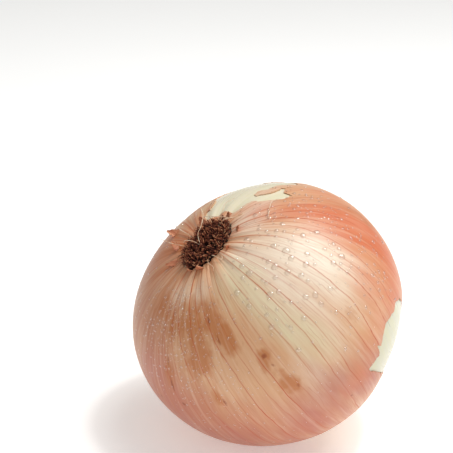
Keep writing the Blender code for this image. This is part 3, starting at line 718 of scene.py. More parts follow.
def tunic_rings():
    """Outer rows from the root rim to the neck rim, then inner rows back again."""
    turn = even_turns(COLUMNS)
    root_edge = plate_reach(turn) + RIM_CLEARANCE + ROOT_FRAY * ragged(turn, 11)
    neck_edge = NECK_RIM - NECK_FRAY * ragged(turn, 12, 4, 60)
    rings = []
    for rows, depth in ((OUTER_ROWS, 0.0), (INNER_ROWS, SKIN_THICKNESS)):
        arc = from_root_edge(root_edge, spaced_rows(FIRST_ROW, NECK_RIM - NECK_MARGIN, rows))
        arc = np.concatenate([arc, neck_edge[None]])
        sink = EDGE_SINK * np.exp(-((torn_distance(arc, turn) / EDGE_REACH) ** 2))
        rings.append(growth_points(arc, turn, depth, crease(arc, turn) - sink))
    return lean(np.concatenate([rings[0], rings[1][::-1]]))


def tear_plug(name, line):
    """A closed plug with a torn outline, from under the skin to well over it."""
    inner = lean(growth_points(line[:, 0], line[:, 1], PLUG_FLOOR))
    outer = lean(growth_points(line[:, 0], line[:, 1], -PLUG_TOP))
    count = len(line)
    lid = tessellate_polygon([[Vector((arc, turn * BELLY_RADIUS, 0.0)) for arc, turn in line]])
    faces = [tuple(triangle) for triangle in lid]
    faces += [tuple(count + corner for corner in reversed(triangle)) for triangle in lid]
    faces += [(a, (a + 1) % count, count + (a + 1) % count, count + a) for a in range(count)]
    return bpy.data.objects.new(name, mesh_of(name, np.concatenate([inner, outer]), faces))


rings = tunic_rings()
print("shell:", rings.shape[0], "rows of", rings.shape[1], "points")

# %% Cut the tears and show the skin
shell = mesh_of("outer_skin_shell", rings, ring_faces(len(rings), COLUMNS, looped=True))
blank = bpy.data.objects.new("blank", shell)
bpy.context.scene.collection.objects.link(blank)
plugs = bpy.data.collections.new("plugs")
bpy.context.scene.collection.children.link(plugs)
for name, line in TEARS.items():
    plugs.objects.link(tear_plug("plug_" + name, line))
cut = blank.modifiers.new("cut", "BOOLEAN")
cut.operand_type, cut.collection, cut.operation, cut.solver = "COLLECTION", plugs, "DIFFERENCE", "MANIFOLD"
bpy.context.view_layer.update()
skin_mesh = bpy.data.meshes.new_from_object(blank.evaluated_get(bpy.context.evaluated_depsgraph_get()))
for spare in [blank, *plugs.objects]:
    bpy.data.objects.remove(spare)
bpy.data.collections.remove(plugs)
skin_mesh.name = "papery_skin"
skin_mesh.shade_smooth()
skin_mesh.set_sharp_from_angle(angle=math.radians(40))
mark_growth(skin_mesh)
papery_skin = show("papery_skin", skin_mesh)
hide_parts("outer_skin")

# %% [markdown]
# The bulb under the skin
#
# The fleshy scale that shows in the tears is smooth, taut and moist. It follows the same outline
# a little deeper, so that the gap to the skin stays even, and closes in an oval socket for the
# root plate and a level end inside the neck.

# %% Bulb
BULB_DEPTH, SOCKET_DEPTH = 0.5 * MM, 3.5 * MM
HOLLOW, HOLLOW_PLACE = 0.15 * MM, (108, 295, 16, 22, 1.0)
BULB_COLUMNS, BULB_ROWS = 256, 106
NECK_FLOOR = NECK_RIM - 6.0 * MM
turn = even_turns(BULB_COLUMNS)
rows = from_root_edge(plate_reach(turn) + RIM_CLEARANCE, spaced_rows(FIRST_ROW, NECK_FLOOR, BULB_ROWS))
behind_tear = bell_strength([HOLLOW_PLACE], np.interp(rows, ARC, POLAR), np.degrees(turn))
surface = growth_points(rows, turn, BULB_DEPTH + HOLLOW * behind_tear)
surface[-1, :, 2] = surface[-1, :, 2].mean()
mouth = surface[:1].copy()
mouth[0, :, :2] = (plate_reach(turn) + GAP)[:, None] * np.stack([np.cos(turn), np.sin(turn)], axis=-1)
socket_floor = float(np.interp(PLATE_LONG, ARC, HEIGHT)) - SOCKET_DEPTH
bottom = mouth.copy()
bottom[..., 2] = socket_floor
rings = with_poles(np.concatenate([bottom, mouth, surface]))
bulb_mesh = mesh_of("fleshy_bulb", lean(rings), ring_faces(len(rings), BULB_COLUMNS, looped=False))
mark_growth(bulb_mesh)
fleshy_bulb = show("fleshy_bulb", bulb_mesh)
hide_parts("bulb")

# %% [markdown]
# The root plate and its brush of dead roots
#
# Hundreds of dried roots stand on a corky disc. Each is a thin tube along a path that leans out
# more the nearer it is to the rim. All of them are worked out at once: one array holds every
# path, a second the rings round it. Their starts lie on a sunflower spiral, which spreads any
# number of points evenly over a disc.

# %% Tubes along many paths at once
GUIDE = np.array([0.31, 0.87, 0.12])


def tube_bundle(paths, radii, sides):
    """Points and faces of closed tubes: a ring of sides round each path point, ends drawn shut.

    The ring's two directions are the cross products of the path's own direction with a guide.
    """
    count, steps = paths.shape[:2]
    ahead = unit(np.gradient(paths, axis=1))
    side = unit(np.cross(ahead, GUIDE))
    other = np.cross(ahead, side)
    angle = even_turns(sides)
    ring = side[:, :, None] * np.cos(angle)[:, None] + other[:, :, None] * np.sin(angle)[:, None]
    points = paths[:, :, None] + ring * radii[:, :, None, None]
    faces = ring_faces(steps, sides, looped=False)
    every = faces[None] + (np.arange(count) * steps * sides)[:, None, None]
    return points.reshape(-1, 3), every.reshape(-1, 4)


def lifted_over_skin(paths, clearance):
    """Raises each path point that would come closer to the skin round the plate than this."""
    reach = np.hypot(paths[..., 0], paths[..., 1])
    half = RADIUS.argmax()
    skin = np.interp(reach, RADIUS[:half], HEIGHT[:half]) + 0.45 * MM
    lifted = paths.copy()
    beyond = np.hypot(paths[..., 0] / PLATE_LONG, paths[..., 1] / PLATE_SHORT) > 1
    lifted[..., 2] = np.where(beyond, np.maximum(paths[..., 2], skin + clearance), paths[..., 2])
    return lifted


print("a tube with nine rings of five points has", len(ring_faces(9, 5, looped=False)), "faces")

# %% Paths of the roots
PLATE_TOP = float(np.interp(PLATE_LONG, ARC, HEIGHT)) + 1.0 * MM
PLATE_CROWN = 0.7 * MM
ROOT_STEPS, ROOT_SIDES, PLATE_COLUMNS = 9, 5, 96


def root_paths(draw, share, turn, length, tilt, curl, kink):
    """Paths that start on the plate and add up short steps, each tilted further than the last."""
    along = np.linspace(0.0, 1.0, ROOT_STEPS)
    x = share * (PLATE_LONG - 0.35 * MM) * np.cos(turn)
    y = share * (PLATE_SHORT - 0.35 * MM) * np.sin(turn)
    start = np.stack([x, y, PLATE_TOP + PLATE_CROWN * (1 - share**2) - 0.8 * MM], axis=-1)
    outward = np.arctan2(y / PLATE_SHORT**2, x / PLATE_LONG**2)
    heading = outward + draw.uniform(-0.6, 0.6, len(share))
    way = heading[:, None] + draw.uniform(-1.0, 1.0, (len(share), 1)) * along
    lean_out = tilt[:, None] * (0.45 + 0.75 * along) + curl[:, None] * along**2
    lean_out = lean_out + np.cumsum(draw.normal(0.0, kink, (len(share), ROOT_STEPS)), axis=1)
    way = way + np.cumsum(draw.normal(0.0, kink * 1.6, (len(share), ROOT_STEPS)), axis=1)
    step = np.stack([np.sin(lean_out) * np.cos(way), np.sin(lean_out) * np.sin(way), np.cos(lean_out)], -1)
    step[:, 0] = 0.0
    return start[:, None] + np.cumsum(step, axis=1) * length[:, None, None] / (ROOT_STEPS - 1)


draw = np.random.default_rng(4)
BRUSH, FRINGE = 640, 330
share = np.sqrt((np.arange(BRUSH) + 0.5) / BRUSH)
golden = np.arange(BRUSH) * math.pi * (3 - math.sqrt(5))
brush = root_paths(
    draw, share, golden + draw.uniform(-0.15, 0.15, BRUSH),
    draw.uniform(2.6, 4.4, BRUSH) * (1 - 0.25 * share**2) * MM,
    math.radians(46) * share**1.7 + draw.uniform(-0.3, 0.3, BRUSH),
    draw.uniform(-0.9, 0.9, BRUSH), 0.26,
)
fringe_turn = draw.uniform(0, 2 * math.pi, FRINGE)
fringe = root_paths(
    draw, draw.uniform(0.9, 1.0, FRINGE), fringe_turn, 1.4 * MM + draw.power(0.5, FRINGE) * 3.4 * MM,
    draw.uniform(0.9, 1.9, FRINGE), draw.uniform(-1.4, 1.0, FRINGE), 0.34,
)
thick = np.concatenate([draw.uniform(0.13, 0.27, BRUSH), draw.uniform(0.06, 0.15, FRINGE)]) * MM
taper = np.array([0.0, 1.0, 1.0, 1.0, 0.97, 0.93, 0.88, 0.8, 0.0])
all_roots = lifted_over_skin(np.concatenate([brush, fringe]), 0.4 * MM)
root_points, root_faces = tube_bundle(all_roots, thick[:, None] * taper, ROOT_SIDES)
print("roots:", len(all_roots), "with", len(root_faces), "faces")

# %% The corky plate under them, and the whole tuft as one piece
turn = even_turns(PLATE_COLUMNS)
profile = np.array([
    (1.0, socket_floor + GAP), (1.0, PLATE_TOP - 0.5 * MM), (0.97, PLATE_TOP - 0.1 * MM),
    (0.8, PLATE_TOP + 0.3 * PLATE_CROWN), (0.5, PLATE_TOP + 0.75 * PLATE_CROWN),
    (0.2, PLATE_TOP + PLATE_CROWN),
])
lump = 1 + 0.02 * np.cos(7 * turn) + 0.015 * np.cos(13 * turn + 1)
plate = np.zeros((len(profile), len(turn), 3))
plate[..., 0] = profile[:, :1] * PLATE_LONG * np.cos(turn) * np.minimum(lump, 1.0)
plate[..., 1] = profile[:, :1] * PLATE_SHORT * np.sin(turn) * np.minimum(lump, 1.0)
plate[..., 2] = profile[:, 1:]
plate = with_poles(plate)
plate_size, root_size = plate.shape[0] * plate.shape[1], ROOT_STEPS * ROOT_SIDES
plate_faces = ring_faces(*plate.shape[:2], looped=False)
points = np.concatenate([plate.reshape(-1, 3), root_points])
faces = np.concatenate([plate_faces, root_faces + plate_size])
along_root = np.repeat(np.linspace(0, 1, ROOT_STEPS), ROOT_SIDES)
tip = np.concatenate([np.zeros(plate_size), np.tile(along_root, len(all_roots))])
own = np.repeat(draw.uniform(0, 1, len(all_roots)), root_size)
own[-FRINGE * root_size:] += 1.0
own = np.concatenate([np.full(plate_size, 0.5), own])
tuft_mesh = mesh_of("dry_root_tuft", lean(points), faces, 70, {"tip": tip, "own": own})
dry_root_tuft = show("dry_root_tuft", tuft_mesh)
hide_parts("root_tuft")

# %% [markdown]
# Pale strands and a stray hair
#
# A few long roots have bleached to straw and hang out of the brush. Each is a handful of points
# in the onion's own frame, eased into a smooth line by a Catmull-Rom spline.

# %% Strands
STRAND_STEPS = 26


def eased(corners, samples):
    """A Catmull-Rom line: each stretch is a cubic whose slope at a corner is half its neighbours' gap."""
    corners = np.asarray(corners, float)
    held = np.concatenate([2 * corners[:1] - corners[1:2], corners, 2 * corners[-1:] - corners[-2:-1]])
    place = np.linspace(0, len(corners) - 1.000001, samples)
    first, t = place.astype(int), (place % 1)[:, None]
    a, b, c, d = held[first], held[first + 1], held[first + 2], held[first + 3]
    bend, ease = 2 * a - 5 * b + 4 * c - d, 3 * b - a - 3 * c + d
    return 0.5 * (2 * b + (c - a) * t + bend * t**2 + ease * t**3)


def skin_line(places):
    """Points in the onion's own frame over the skin: polar angle, longitude and height in mm."""
    places = np.asarray(places, float)
    return growth_points(arc_at(places[:, 0]), np.radians(places[:, 1]), -places[:, 2] * MM)


LOOSE = [
    # corners in mm in the onion's own frame, then the radius in mm
    ([(8.3, 10.2, 41.5), (6.4, 4.9, 42.6), (2.8, 1.5, 42.6), (0.2, 0.7, 42.0), (-1.8, -1.5, 40.6)], 0.15),
    ([(4.4, 5.6, 39.6), (6.0, 4.4, 42.0), (7.8, 1.1, 41.6), (9.5, -1.6, 40.6), (10.7, -2.8, 39.2),
      (12.2, -4.4, 38.3)], 0.13),
    ([(-0.3, 16.4, 39.5), (-1.0, 11.0, 40.6), (-1.1, 6.6, 40.8), (-1.2, 4.6, 39.6)], 0.13),
    ([(-4.0, 6.0, 39.8), (-3.6, 5.0, 41.0), (-2.8, 1.8, 41.8), (-2.2, -0.1, 41.0), (-2.0, -0.8, 39.8)],
     0.15),
    ([(8.6, 1.0, 38.6), (9.6, 1.4, 39.5), (10.6, 1.3, 40.2), (11.9, 1.7, 40.4), (13.8, 3.8, 39.8),
      (15.8, 4.3, 38.8), (17.7, 4.6, 37.8)], 0.1),
]
STRANDS = [(np.array(corners) * MM, size) for corners, size in LOOSE] + [
    (skin_line([(8, 0, 1.4), (12, 354, 2.4), (16, 350, 1.2), (19.5, 348, 0.8)]), 0.26),
    (skin_line([(9.5, 250, 1.0), (12, 256, 1.6), (14.5, 260, 0.7), (13, 265, 0.5), (11, 261, 0.9)]), 0.14),
    (skin_line([(9.5, 236, 1.0), (12.5, 238, 1.3), (15, 243, 0.5), (17, 241, 0.5)]), 0.13),
    (skin_line([(27.4, 326, 0.3), (28.4, 334, 0.6), (30.6, 343, 0.8), (32.7, 347, 0.4), (35, 347.4, 0.3)]),
     0.13),
    (skin_line([(9, 128, 1.6), (15, 122, 3.8), (20, 116, 5.0)]), 0.12),
]
lines = np.stack([eased(line, STRAND_STEPS) for line, _ in STRANDS])
radii = np.array([size for _, size in STRANDS])[:, None] * MM * np.linspace(1.0, 0.55, STRAND_STEPS)
radii[:, [0, -1]] = 0.0
points, faces = tube_bundle(lines, radii, 6)
strand_mesh = mesh_of("bleached_strands", lean(points), faces, 70)
bleached_strands = show("bleached_strands", strand_mesh)

# %% [markdown]
# Scraps of skin beside the roots
#
# Where the skin has cracked off the root plate a few curled scraps stand up. A scrap is a strip
# that narrows to a torn point and curls as it goes, with a second surface just behind it.

# %% Scraps
SCRAP_THICKNESS, SCRAP_ROWS = 0.16 * MM, 12
SCRAPS = [
    # longitude, polar angle of the foot, width, length, lift and curl in degrees
    (95, 24, 3.0, 3.0, 34, 30), (148, 14.4, 3.0, 3.8, 14, 10), (216, 12.2, 3.0, 2.8, 56, 30),
    (118, 15.0, 3.0, 3.0, 44, 50), (325, 13.4, 2.8, 2.2, 20, 40), (196, 12.6, 2.4, 2.0, 34, 60),
    (285, 11.6, 2.4, 1.8, 34, 50), (60, 13.6, 2.8, 2.6, 40, 40), (8, 14.0, 2.4, 2.2, 30, 30),
]


def scrap_points(number, longitude, polar, width, length, lift, curl):
    """Rows along the scrap: each step is tilted further out, and the width falls to a torn point."""
    turn, arc = math.radians(longitude), float(arc_at(polar))
    foot = growth_points(arc, turn, 0.1 * MM)
    ahead = unit(growth_points(arc + MM, turn, 0.1 * MM) - foot)
    side = np.array([-math.sin(turn), math.cos(turn), 0.0])
    out = np.cross(side, ahead)
    out *= np.sign(out[2])
    along, across = np.linspace(0, 1, SCRAP_ROWS), np.linspace(-0.5, 0.5, 11)
    tilt = np.radians(lift + curl * along)
    step = np.cos(tilt)[:, None] * ahead + np.sin(tilt)[:, None] * out
    spine = foot + np.cumsum(step, axis=0) * length * MM / (SCRAP_ROWS - 1)
    draw = np.random.default_rng(100 + number)
    narrow = (1 - along) ** 0.7 * (1 + 0.25 * draw.uniform(-1, 1, SCRAP_ROWS)) + 0.02
    shift = 0.18 * np.cumsum(draw.uniform(-0.4, 0.4, SCRAP_ROWS))
    place = across[None] * narrow[:, None] + shift[:, None] * along[:, None]
    sheet = spine[:, None] + place[..., None] * width * MM * side
    cup = 0.12 * width * MM * (across**2 * 4)[None, :, None] * out
    front = sheet + cup
    normal = unit(np.cross(np.gradient(front, axis=0), np.gradient(front, axis=1)))
    behind = front - normal * SCRAP_THICKNESS
    return np.concatenate([front, behind[:, ::-1]], axis=1)


sheets = [with_poles(scrap_points(number, *scrap)) for number, scrap in enumerate(SCRAPS)]
points, faces = stacked(sheets, looped=False)
scrap_mesh = mesh_of("skin_scraps", lean(points), faces, 50)
mark_growth(scrap_mesh)
skin_scraps = show("skin_scraps", scrap_mesh)

# %% [markdown]
# The neck
#
# The leaves of the plant have dried away to rolled sheaths in the neck. Each sheath is a thin
# wall round the neck's line whose radius waves, so that it looks crushed, and whose rim is
# frayed. One inside another they look like the rolled, papery end that a cured onion has.

# %% Rolled sheaths
NECK_COLUMNS, NECK_ROWS, WALL_SHARE = 120, 14, 0.055
turn = even_turns(NECK_COLUMNS)
rim = growth_points(NECK_RIM + 0.6 * MM, turn, 0.9 * MM)
foot = growth_points(NECK_FLOOR + 0.6 * MM, turn, 1.0 * MM)
rim_middle, foot_middle = rim.mean(axis=0), foot.mean(axis=0)


def sheath(share, rise, fray, waves, phase, seed):
    """A thin closed wall from the neck's floor to a frayed rim, its radius crushed by a few waves."""
    turn = even_turns(NECK_COLUMNS)
    along = np.linspace(0, 1, NECK_ROWS)[:, None]
    top = rise * MM - fray * MM * ragged(turn, seed, 3, 40)
    crush = 1 + along * 0.16 * np.cos(waves * turn + phase) + along**2 * 0.09 * np.cos((2 * waves + 1) * turn)
    middle = foot_middle + (rim_middle - foot_middle) * along[..., None]
    rings = []
    for scale in (share, share - WALL_SHARE):
        wall = middle + (rim - rim_middle) * scale * (crush - 0.1 * along)[..., None]
        rings.append(wall + (along * top)[..., None] * unit(rim_middle - foot_middle))
    return np.concatenate([rings[0], rings[1][::-1]])


SHEATHS = [
    (0.90, 1.2, 1.8, 3, 0.4, 31), (0.74, 2.4, 2.4, 4, 1.7, 32), (0.58, 2.9, 2.2, 3, 2.9, 33),
    (0.42, 3.2, 2.0, 2, 0.9, 34), (0.26, 3.0, 1.6, 2, 2.2, 35),
]
points, faces = stacked([sheath(*values) for values in SHEATHS], looped=True)
neck_mesh = mesh_of("rolled_neck_leaves", lean(points), faces, 60)
mark_growth(neck_mesh)
rolled_neck_leaves = show("rolled_neck_leaves", neck_mesh)
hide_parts("neck_leaves")

# %% [markdown]
# Water drops
#
# The onion has been misted. A drop on a waxy skin is a flat dome, and there are hundreds, so
# each has only four dozen faces. They crowd below the roots on the shaded side, where they are
# small, and are larger and further apart on the pale shoulder.

# %% Where the drops sit
DROP_SPACING = 1.15
DROP_PATCHES = [
    # polar angle, longitude, reach both ways, count, smallest and largest radius in mm
    (38, 200, 16, 34, 420, 0.2, 0.5), (60, 208, 20, 34, 260, 0.18, 0.42), (45, 262, 22, 16, 70, 0.25, 1.0),
    (42, 300, 20, 24, 130, 0.3, 1.15), (40, 335, 22, 20, 150, 0.25, 0.65), (70, 305, 18, 24, 110, 0.25, 0.75),
    (30, 20, 16, 30, 110, 0.18, 0.45), (90, 250, 20, 50, 70, 0.12, 0.4), (50, 100, 26, 60, 220, 0.14, 0.4),
]


def drop_places(draw):
    """Random places in a bell round each patch's middle, many small radii and few large, off the tears."""
    places = []
    for polar, longitude, reach, spread, count, small, large in DROP_PATCHES:
        size = small + (large - small) * draw.power(0.45, count)
        places.append(np.stack([
            draw.normal(polar, reach * 0.6, count), draw.normal(longitude, spread * 0.6, count), size,
        ], axis=-1))
    places = np.concatenate(places)
    on_skin = ~inside_tear(arc_at(places[:, 0]), np.radians(places[:, 1]))
    return places[(places[:, 0] > 18) & (places[:, 0] < 118) & on_skin]


def spread_out(places):
    """Leaves out each place whose gap to a larger one is under the spacing times both radii."""
    places = places[np.argsort(-places[:, 2])]
    middles = growth_points(arc_at(places[:, 0]), np.radians(places[:, 1])) / MM
    gap = np.linalg.norm(middles[:, None] - middles[None], axis=-1)
    touch = gap < DROP_SPACING * (places[:, None, 2] + places[None, :, 2])
    return places[~np.tril(touch, -1).any(axis=1)]


drops = spread_out(drop_places(np.random.default_rng(8)))
print("drops:", len(drops))

# %% The drops as domes: rings of radius and height in drop radii
SIDES, DOME = 9, np.array([(1.04, -0.14), (0.98, 0.1), (0.75, 0.31), (0.4, 0.42)])
TOP, UNDER = 0.45, 0.16
arc, turn, size = arc_at(drops[:, 0]), np.radians(drops[:, 1]), drops[:, 2] * MM
depth = -crease(arc, turn)
seat = growth_points(arc, turn, depth)
ahead = growth_points(arc + 0.3 * MM, turn, depth) - seat
side = growth_points(arc, turn + 0.006, depth) - seat
ahead = unit(ahead)
out = unit(np.cross(ahead, side))
out *= np.sign((out * seat).sum(axis=-1))[:, None]
side = np.cross(out, ahead)
angle = even_turns(SIDES)
wobble = 1 + 0.12 * np.cos(2 * angle + turn[:, None] * 40) + 0.06 * np.cos(3 * angle + arc[:, None] * 900)
circle = ahead[:, None] * np.cos(angle)[:, None] + side[:, None] * np.sin(angle)[:, None]
flat = circle[:, None] * DOME[:, 0][:, None, None] * wobble[:, None, :, None]
raised = flat + out[:, None, None] * DOME[:, 1][:, None, None]
domes = seat[:, None, None] + size[:, None, None, None] * raised
top = np.repeat((seat + out * size[:, None] * TOP)[:, None, None], SIDES, axis=2)
under = np.repeat((seat - out * size[:, None] * UNDER)[:, None, None], SIDES, axis=2)
domes = np.concatenate([under, domes, top], axis=1)
points, faces = stacked(domes, looped=False)
water_drops = show("water_drops", mesh_of("water_drops", lean(points), faces, 80))

# %% [markdown]
# Papery skin as a finish
#
# A dry tunic leaf is a thin, translucent, satin sheet of flattened cells with veins that run from
# root to neck. Its colour lies in patches, its veins are rusty and uneven, and it takes a soft
# gleam where it is damp. All patterns use the marks that the mesh stores, so veins wander along
# meridians and draw together at both ends, as they do on a real bulb. A real skin's fibres are a
# tenth of a millimetre wide, too fine to show here, so they are drawn a few times coarser.

# %% A vein pattern


def vein_lines(tree, repeats, width, sway, seed):
    """A mask of lines at each vein, or at this many places from one vein to the next. The angle of
    the stored direction over 2 pi, moved a little by noise, is the phase. Its distance to a whole
    number, times the gap, is compared with the width in mm."""
    mark = node(tree, "Attribute", out="Vector", attribute_name="vein")
    cos, sin, dark = node(tree, "SeparateXYZ", {0: mark}).node.outputs
    gap = node(tree, "Attribute", out="Fac", attribute_name="vein_gap")
    spoke = node(tree, "Attribute", out="Vector", attribute_name="spoke")
    angle = node(tree, "Math", {0: sin, 1: cos}, operation="ARCTAN2")
    warp = node(tree, "Mapping", {"Vector": spoke, "Location": (seed, seed, seed), "Scale": (9.0, 9.0, 1.1)})
    noise = node(tree, "TexNoise", {"Vector": warp, "Scale": 1.0, "Detail": 3.0})
    noise = node(tree, "Math", {0: noise, 1: 0.5}, operation="SUBTRACT")
    turns = node(tree, "Math", {0: angle, 1: 1 / (2 * math.pi)}, operation="MULTIPLY")
    moved = node(tree, "Math", {0: noise, 1: sway, 2: turns}, operation="MULTIPLY_ADD")
    phase = node(tree, "Math", {0: moved, 1: float(repeats)}, operation="MULTIPLY")
    nearest = node(tree, "Math", {0: phase}, operation="ROUND")
    off = node(tree, "Math", {0: phase, 1: nearest}, operation="SUBTRACT")
    off = node(tree, "Math", {0: off}, operation="ABSOLUTE")
    off = node(tree, "Math", {0: off, 1: gap}, operation="MULTIPLY")
    off = node(tree, "Math", {0: off, 1: 1.0 / repeats}, operation="MULTIPLY")
    line = node(tree, "MapRange", {
        "Value": off, "From Min": width * 0.2, "From Max": width, "To Min": 1.0, "To Max": 0.0,
    }, interpolation_type="SMOOTHSTEP")
    return line, dark


def fibre_noise(tree, across, along, seed, detail=3.0):
    """Noise drawn out along meridians: across sets how many streaks go round, along how short they are."""
    spoke = node(tree, "Attribute", out="Vector", attribute_name="spoke")
    stretched = node(tree, "Mapping", {
        "Vector": spoke, "Location": (seed, -seed, seed), "Scale": (across, across, along),
    })
    return node(tree, "TexNoise", {"Vector": stretched, "Scale": 1.0, "Detail": detail})


print("patterns:", vein_lines.__name__, "and", fibre_noise.__name__)

# %% Tunic leaf: dried and satin
TUNIC_SHADES = [
    # shade, colour, most that it covers, streaks round and along, least and full strength
    ("tan", "#B86E44", 0.9, 9.0, 0.5, 0.12, 1.0), ("cream", "#F6E8D2", 0.95, 6.0, 0.45, 0.12, 0.95),
    ("green", "#E2DAB2", 0.8, 8.0, 0.4, 0.2, 1.0), ("rose", "#B86556", 0.85, 8.0, 0.5, 0.12, 1.0),
    ("orange", "#D4683C", 0.9, 12.0, 0.4, 0.12, 1.0), ("amber", "#B8651F", 0.72, 15.0, 2.6, 0.3, 0.75),
]
tunic, tree = new_finish(
    "dried_tunic_leaf", Roughness=0.42, Coat_Weight=0.08, Coat_Roughness=0.28, IOR=1.46,
)
colour = linear("#DCAB82")
# Cream, tan and rose also paint light: a painted highlight on the shoulder, painted shade on the left and low
# down
for name, shade, most, round_way, along, least, full in TUNIC_SHADES:
    strength = node(tree, "Attribute", out="Fac", attribute_name=name)
    streak = fibre_noise(tree, round_way, along, len(name) * 3.7)
    streak = node(tree, "Math", {0: streak, 1: 0.5}, operation="SUBTRACT")
    swayed = node(tree, "Math", {0: streak, 1: 1.1, 2: strength}, operation="MULTIPLY_ADD")
    colour = laid_over(tree, colour, shade, swayed, least, full, most)
print("shades of the tunic:", ", ".join(name for name, *_ in TUNIC_SHADES))

# %% Fibres, veins and blemishes over the shades
fibre = fibre_noise(tree, 60.0, 0.7, 3.0, 4.0)
colour = laid_over(tree, colour, "#C27A4C", fibre, 0.35, 0.75, 0.24)
colour = laid_over(tree, colour, "#F4DCC2", fibre_noise(tree, 34.0, 0.5, 17.0), 0.5, 0.75, 0.22)
fine_veins, _ = vein_lines(tree, 4, 0.16, 0.5, 9.0)
broken = fibre_noise(tree, 9.0, 1.2, 12.0, 2.0)
most = node(tree, "MapRange", {"Value": broken, "From Min": 0.45, "From Max": 0.65, "To Max": 0.35})
colour = laid_over(tree, colour, "#B8602E", fine_veins, 0.0, 1.0, most)
main_veins, dark = vein_lines(tree, 1, 0.24, 0.3, 5.0)
colour = laid_over(tree, colour, "#BC4E18", main_veins, 0.0, 1.0, dark)
spot = node(tree, "Attribute", out="Fac", attribute_name="blemish")
place = node(tree, "TexCoord", out="Object")
spot_edge = node(tree, "TexNoise", {"Vector": place, "Scale": 900.0, "Detail": 2.0})
spot = node(tree, "Math", {0: spot_edge, 1: 0.7, 2: spot}, operation="MULTIPLY_ADD")
colour = laid_over(tree, colour, "#98481C", spot, 0.62, 1.0, 0.85)
print("nodes so far:", len(tree.nodes))

# %% Satin sheen and relief of the tunic
gloss = node(tree, "MapRange", {
    "Value": fibre, "From Min": 0.3, "From Max": 0.7, "To Min": 0.34, "To Max": 0.5,
})
ridge = node(tree, "Math", {0: main_veins, 1: 0.25, 2: fibre}, operation="MULTIPLY_ADD")
relief_map = node(tree, "Bump", {"Height": ridge, "Strength": 0.5, "Distance": 0.1 * MM})
wear(papery_skin, tunic, Base_Color=colour, Roughness=gloss, Normal=relief_map)

# %% Scraps: the same leaf, rust brown where it has dried through
scrap_finish, tree = new_finish("rust_brown_scrap", Roughness=0.6, IOR=1.46)
streak = fibre_noise(tree, 40.0, 1.6, 8.0)
colour = laid_over(tree, linear("#B06040"), "#D89872", streak, 0.35, 0.65)
wear(skin_scraps, scrap_finish, Base_Color=colour)

# %% [markdown]
# The other finishes
#
# The scale is waxy and moist, so it is smoother and glows more than the skin, and its veins are
# only a slightly greener white. The roots are corky and matt, and their colour runs from near
# black at the foot to straw at the tip: partly their own colour, partly painted shade deep in
# the brush and a painted highlight on the tips. The neck sheaths are the same dry leaf as the
# skin, gone dull. The drops are water, tinted darker at the rim as painted shade.

# %% Fleshy scale
scale_finish, tree = new_finish(
    "moist_fleshy_scale", Roughness=0.3, Coat_Weight=0.3, Coat_Roughness=0.15,
    Subsurface_Weight=0.08, Subsurface_Scale=MM, Subsurface_Radius=(1.0, 0.8, 0.5), IOR=1.44,
)
spoke = node(tree, "Attribute", out="Vector", attribute_name="spoke")
arc_way = node(tree, "SeparateXYZ", {0: spoke}, out=2)
colour = laid_over(tree, linear("#F1E6CB"), "#C9C6AC", arc_way, 3.0, 6.5)
grain = fibre_noise(tree, 22.0, 0.5, 6.0)
colour = laid_over(tree, colour, "#D8D3A6", grain, 0.35, 0.7, 0.5)
wax = node(tree, "MapRange", {
    "Value": grain, "From Min": 0.3, "From Max": 0.7, "To Min": 0.24, "To Max": 0.36,
})
relief_map = node(tree, "Bump", {"Height": grain, "Strength": 0.4, "Distance": 0.1 * MM})
wear(fleshy_bulb, scale_finish, Base_Color=colour, Roughness=wax, Normal=relief_map)

# %% Dead roots: corky and matt, dark foot and straw tip, partly painted shade and highlight
root_finish, tree = new_finish("dried_root_fibre", Roughness=0.85, IOR=1.45)
tip_way = node(tree, "Attribute", out="Fac", attribute_name="tip")
own_shade = node(tree, "Attribute", out="Fac", attribute_name="own")
place = node(tree, "TexCoord", out="Object")
speck = node(tree, "TexNoise", {"Vector": place, "Scale": 1400.0, "Detail": 3.0})
lifted = node(tree, "Math", {0: tip_way, 1: 2.2}, operation="POWER")
reach = node(tree, "MapRange", {"Value": own_shade, "From Max": 2.0, "To Min": 0.25, "To Max": 1.2})
lifted = node(tree, "Math", {0: lifted, 1: reach}, operation="MULTIPLY")
lifted = node(tree, "Math", {0: speck, 1: 0.3, 2: lifted}, operation="MULTIPLY_ADD")
# Near black foot to straw tip: the roots' own colour plus painted shade in the brush and highlight on tips
ramp = node(tree, "ValToRGB", {"Fac": lifted})
stops = ramp.node.color_ramp.elements
stops[0].color, stops[1].color = linear("#1C0A06"), linear("#DDB08A")
stops[0].position, stops[1].position = 0.12, 1.0
for position, shade in ((0.28, "#4A1E12"), (0.46, "#7E3E28"), (0.7, "#B4744E")):
    stops.new(position).color = linear(shade)
relief_map = node(tree, "Bump", {"Height": speck, "Strength": 0.7, "Distance": 0.1 * MM})
wear(dry_root_tuft, root_finish, Base_Color=ramp, Normal=relief_map)

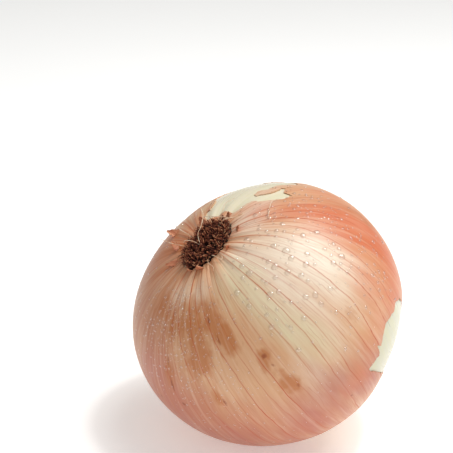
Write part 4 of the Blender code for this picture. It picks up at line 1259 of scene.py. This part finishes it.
# %% Bleached strands
straw, tree = new_finish("bleached_root_straw", Roughness=0.6, IOR=1.45)
place = node(tree, "TexCoord", out="Object")
speck = node(tree, "TexNoise", {"Vector": place, "Scale": 500.0, "Detail": 2.0})
colour = laid_over(tree, linear("#CFA27C"), "#F0DCC0", speck, 0.35, 0.65)
wear(bleached_strands, straw, Base_Color=colour)

# %% Dry neck leaf
dry_leaf, tree = new_finish("dry_neck_leaf", Roughness=0.7, IOR=1.46)
streak = fibre_noise(tree, 30.0, 1.2, 4.0)
colour = laid_over(tree, linear("#D6A672"), "#96622F", streak, 0.3, 0.7)
relief_map = node(tree, "Bump", {"Height": streak, "Strength": 0.6, "Distance": 0.2 * MM})
wear(rolled_neck_leaves, dry_leaf, Base_Color=colour, Normal=relief_map)

# %% Water: seen through, with a gleam that grows to the rim
# A drop is also a lens that gathers the lamps, which a see-through surface can't show, so a small
# even share of gleam is added. Only the outer side gleams, or the drops would turn dark inside.
water = bpy.data.materials.new("clear_water")
water.use_nodes = True
tree = water.node_tree
tree.nodes.clear()
place = node(tree, "TexCoord", out="Object")
haze = node(tree, "TexNoise", {"Vector": place, "Scale": 700.0})
# Towards the rim the see-through colour darkens: painted shade for the dark edge of a drop's lens
rim = node(tree, "LayerWeight", {"Blend": 0.35}, out="Facing")
tone = laid_over(tree, linear("#FFFFFF"), "#C8AC8E", rim, 0.0, 1.0)
body = node(tree, "BsdfTransparent", {"Color": tone})
rough = node(tree, "MapRange", {"Value": haze, "To Min": 0.04, "To Max": 0.09})
gleam = node(tree, "BsdfGlossy", {"Color": linear("#FFFFFF"), "Roughness": rough})
share_back = node(tree, "Fresnel", {"IOR": 1.333})
share_back = node(tree, "Math", {0: share_back, 1: 2.0, 2: 0.11}, operation="MULTIPLY_ADD")
outside = node(tree, "Math", {0: 1.0, 1: node(tree, "NewGeometry", out="Backfacing")}, operation="SUBTRACT")
share_back = node(tree, "Math", {0: share_back, 1: outside}, operation="MULTIPLY")
mixed = node(tree, "MixShader", {0: share_back, 1: body, 2: gleam})
node(tree, "OutputMaterial", {"Surface": mixed})
wear(water_drops, water)
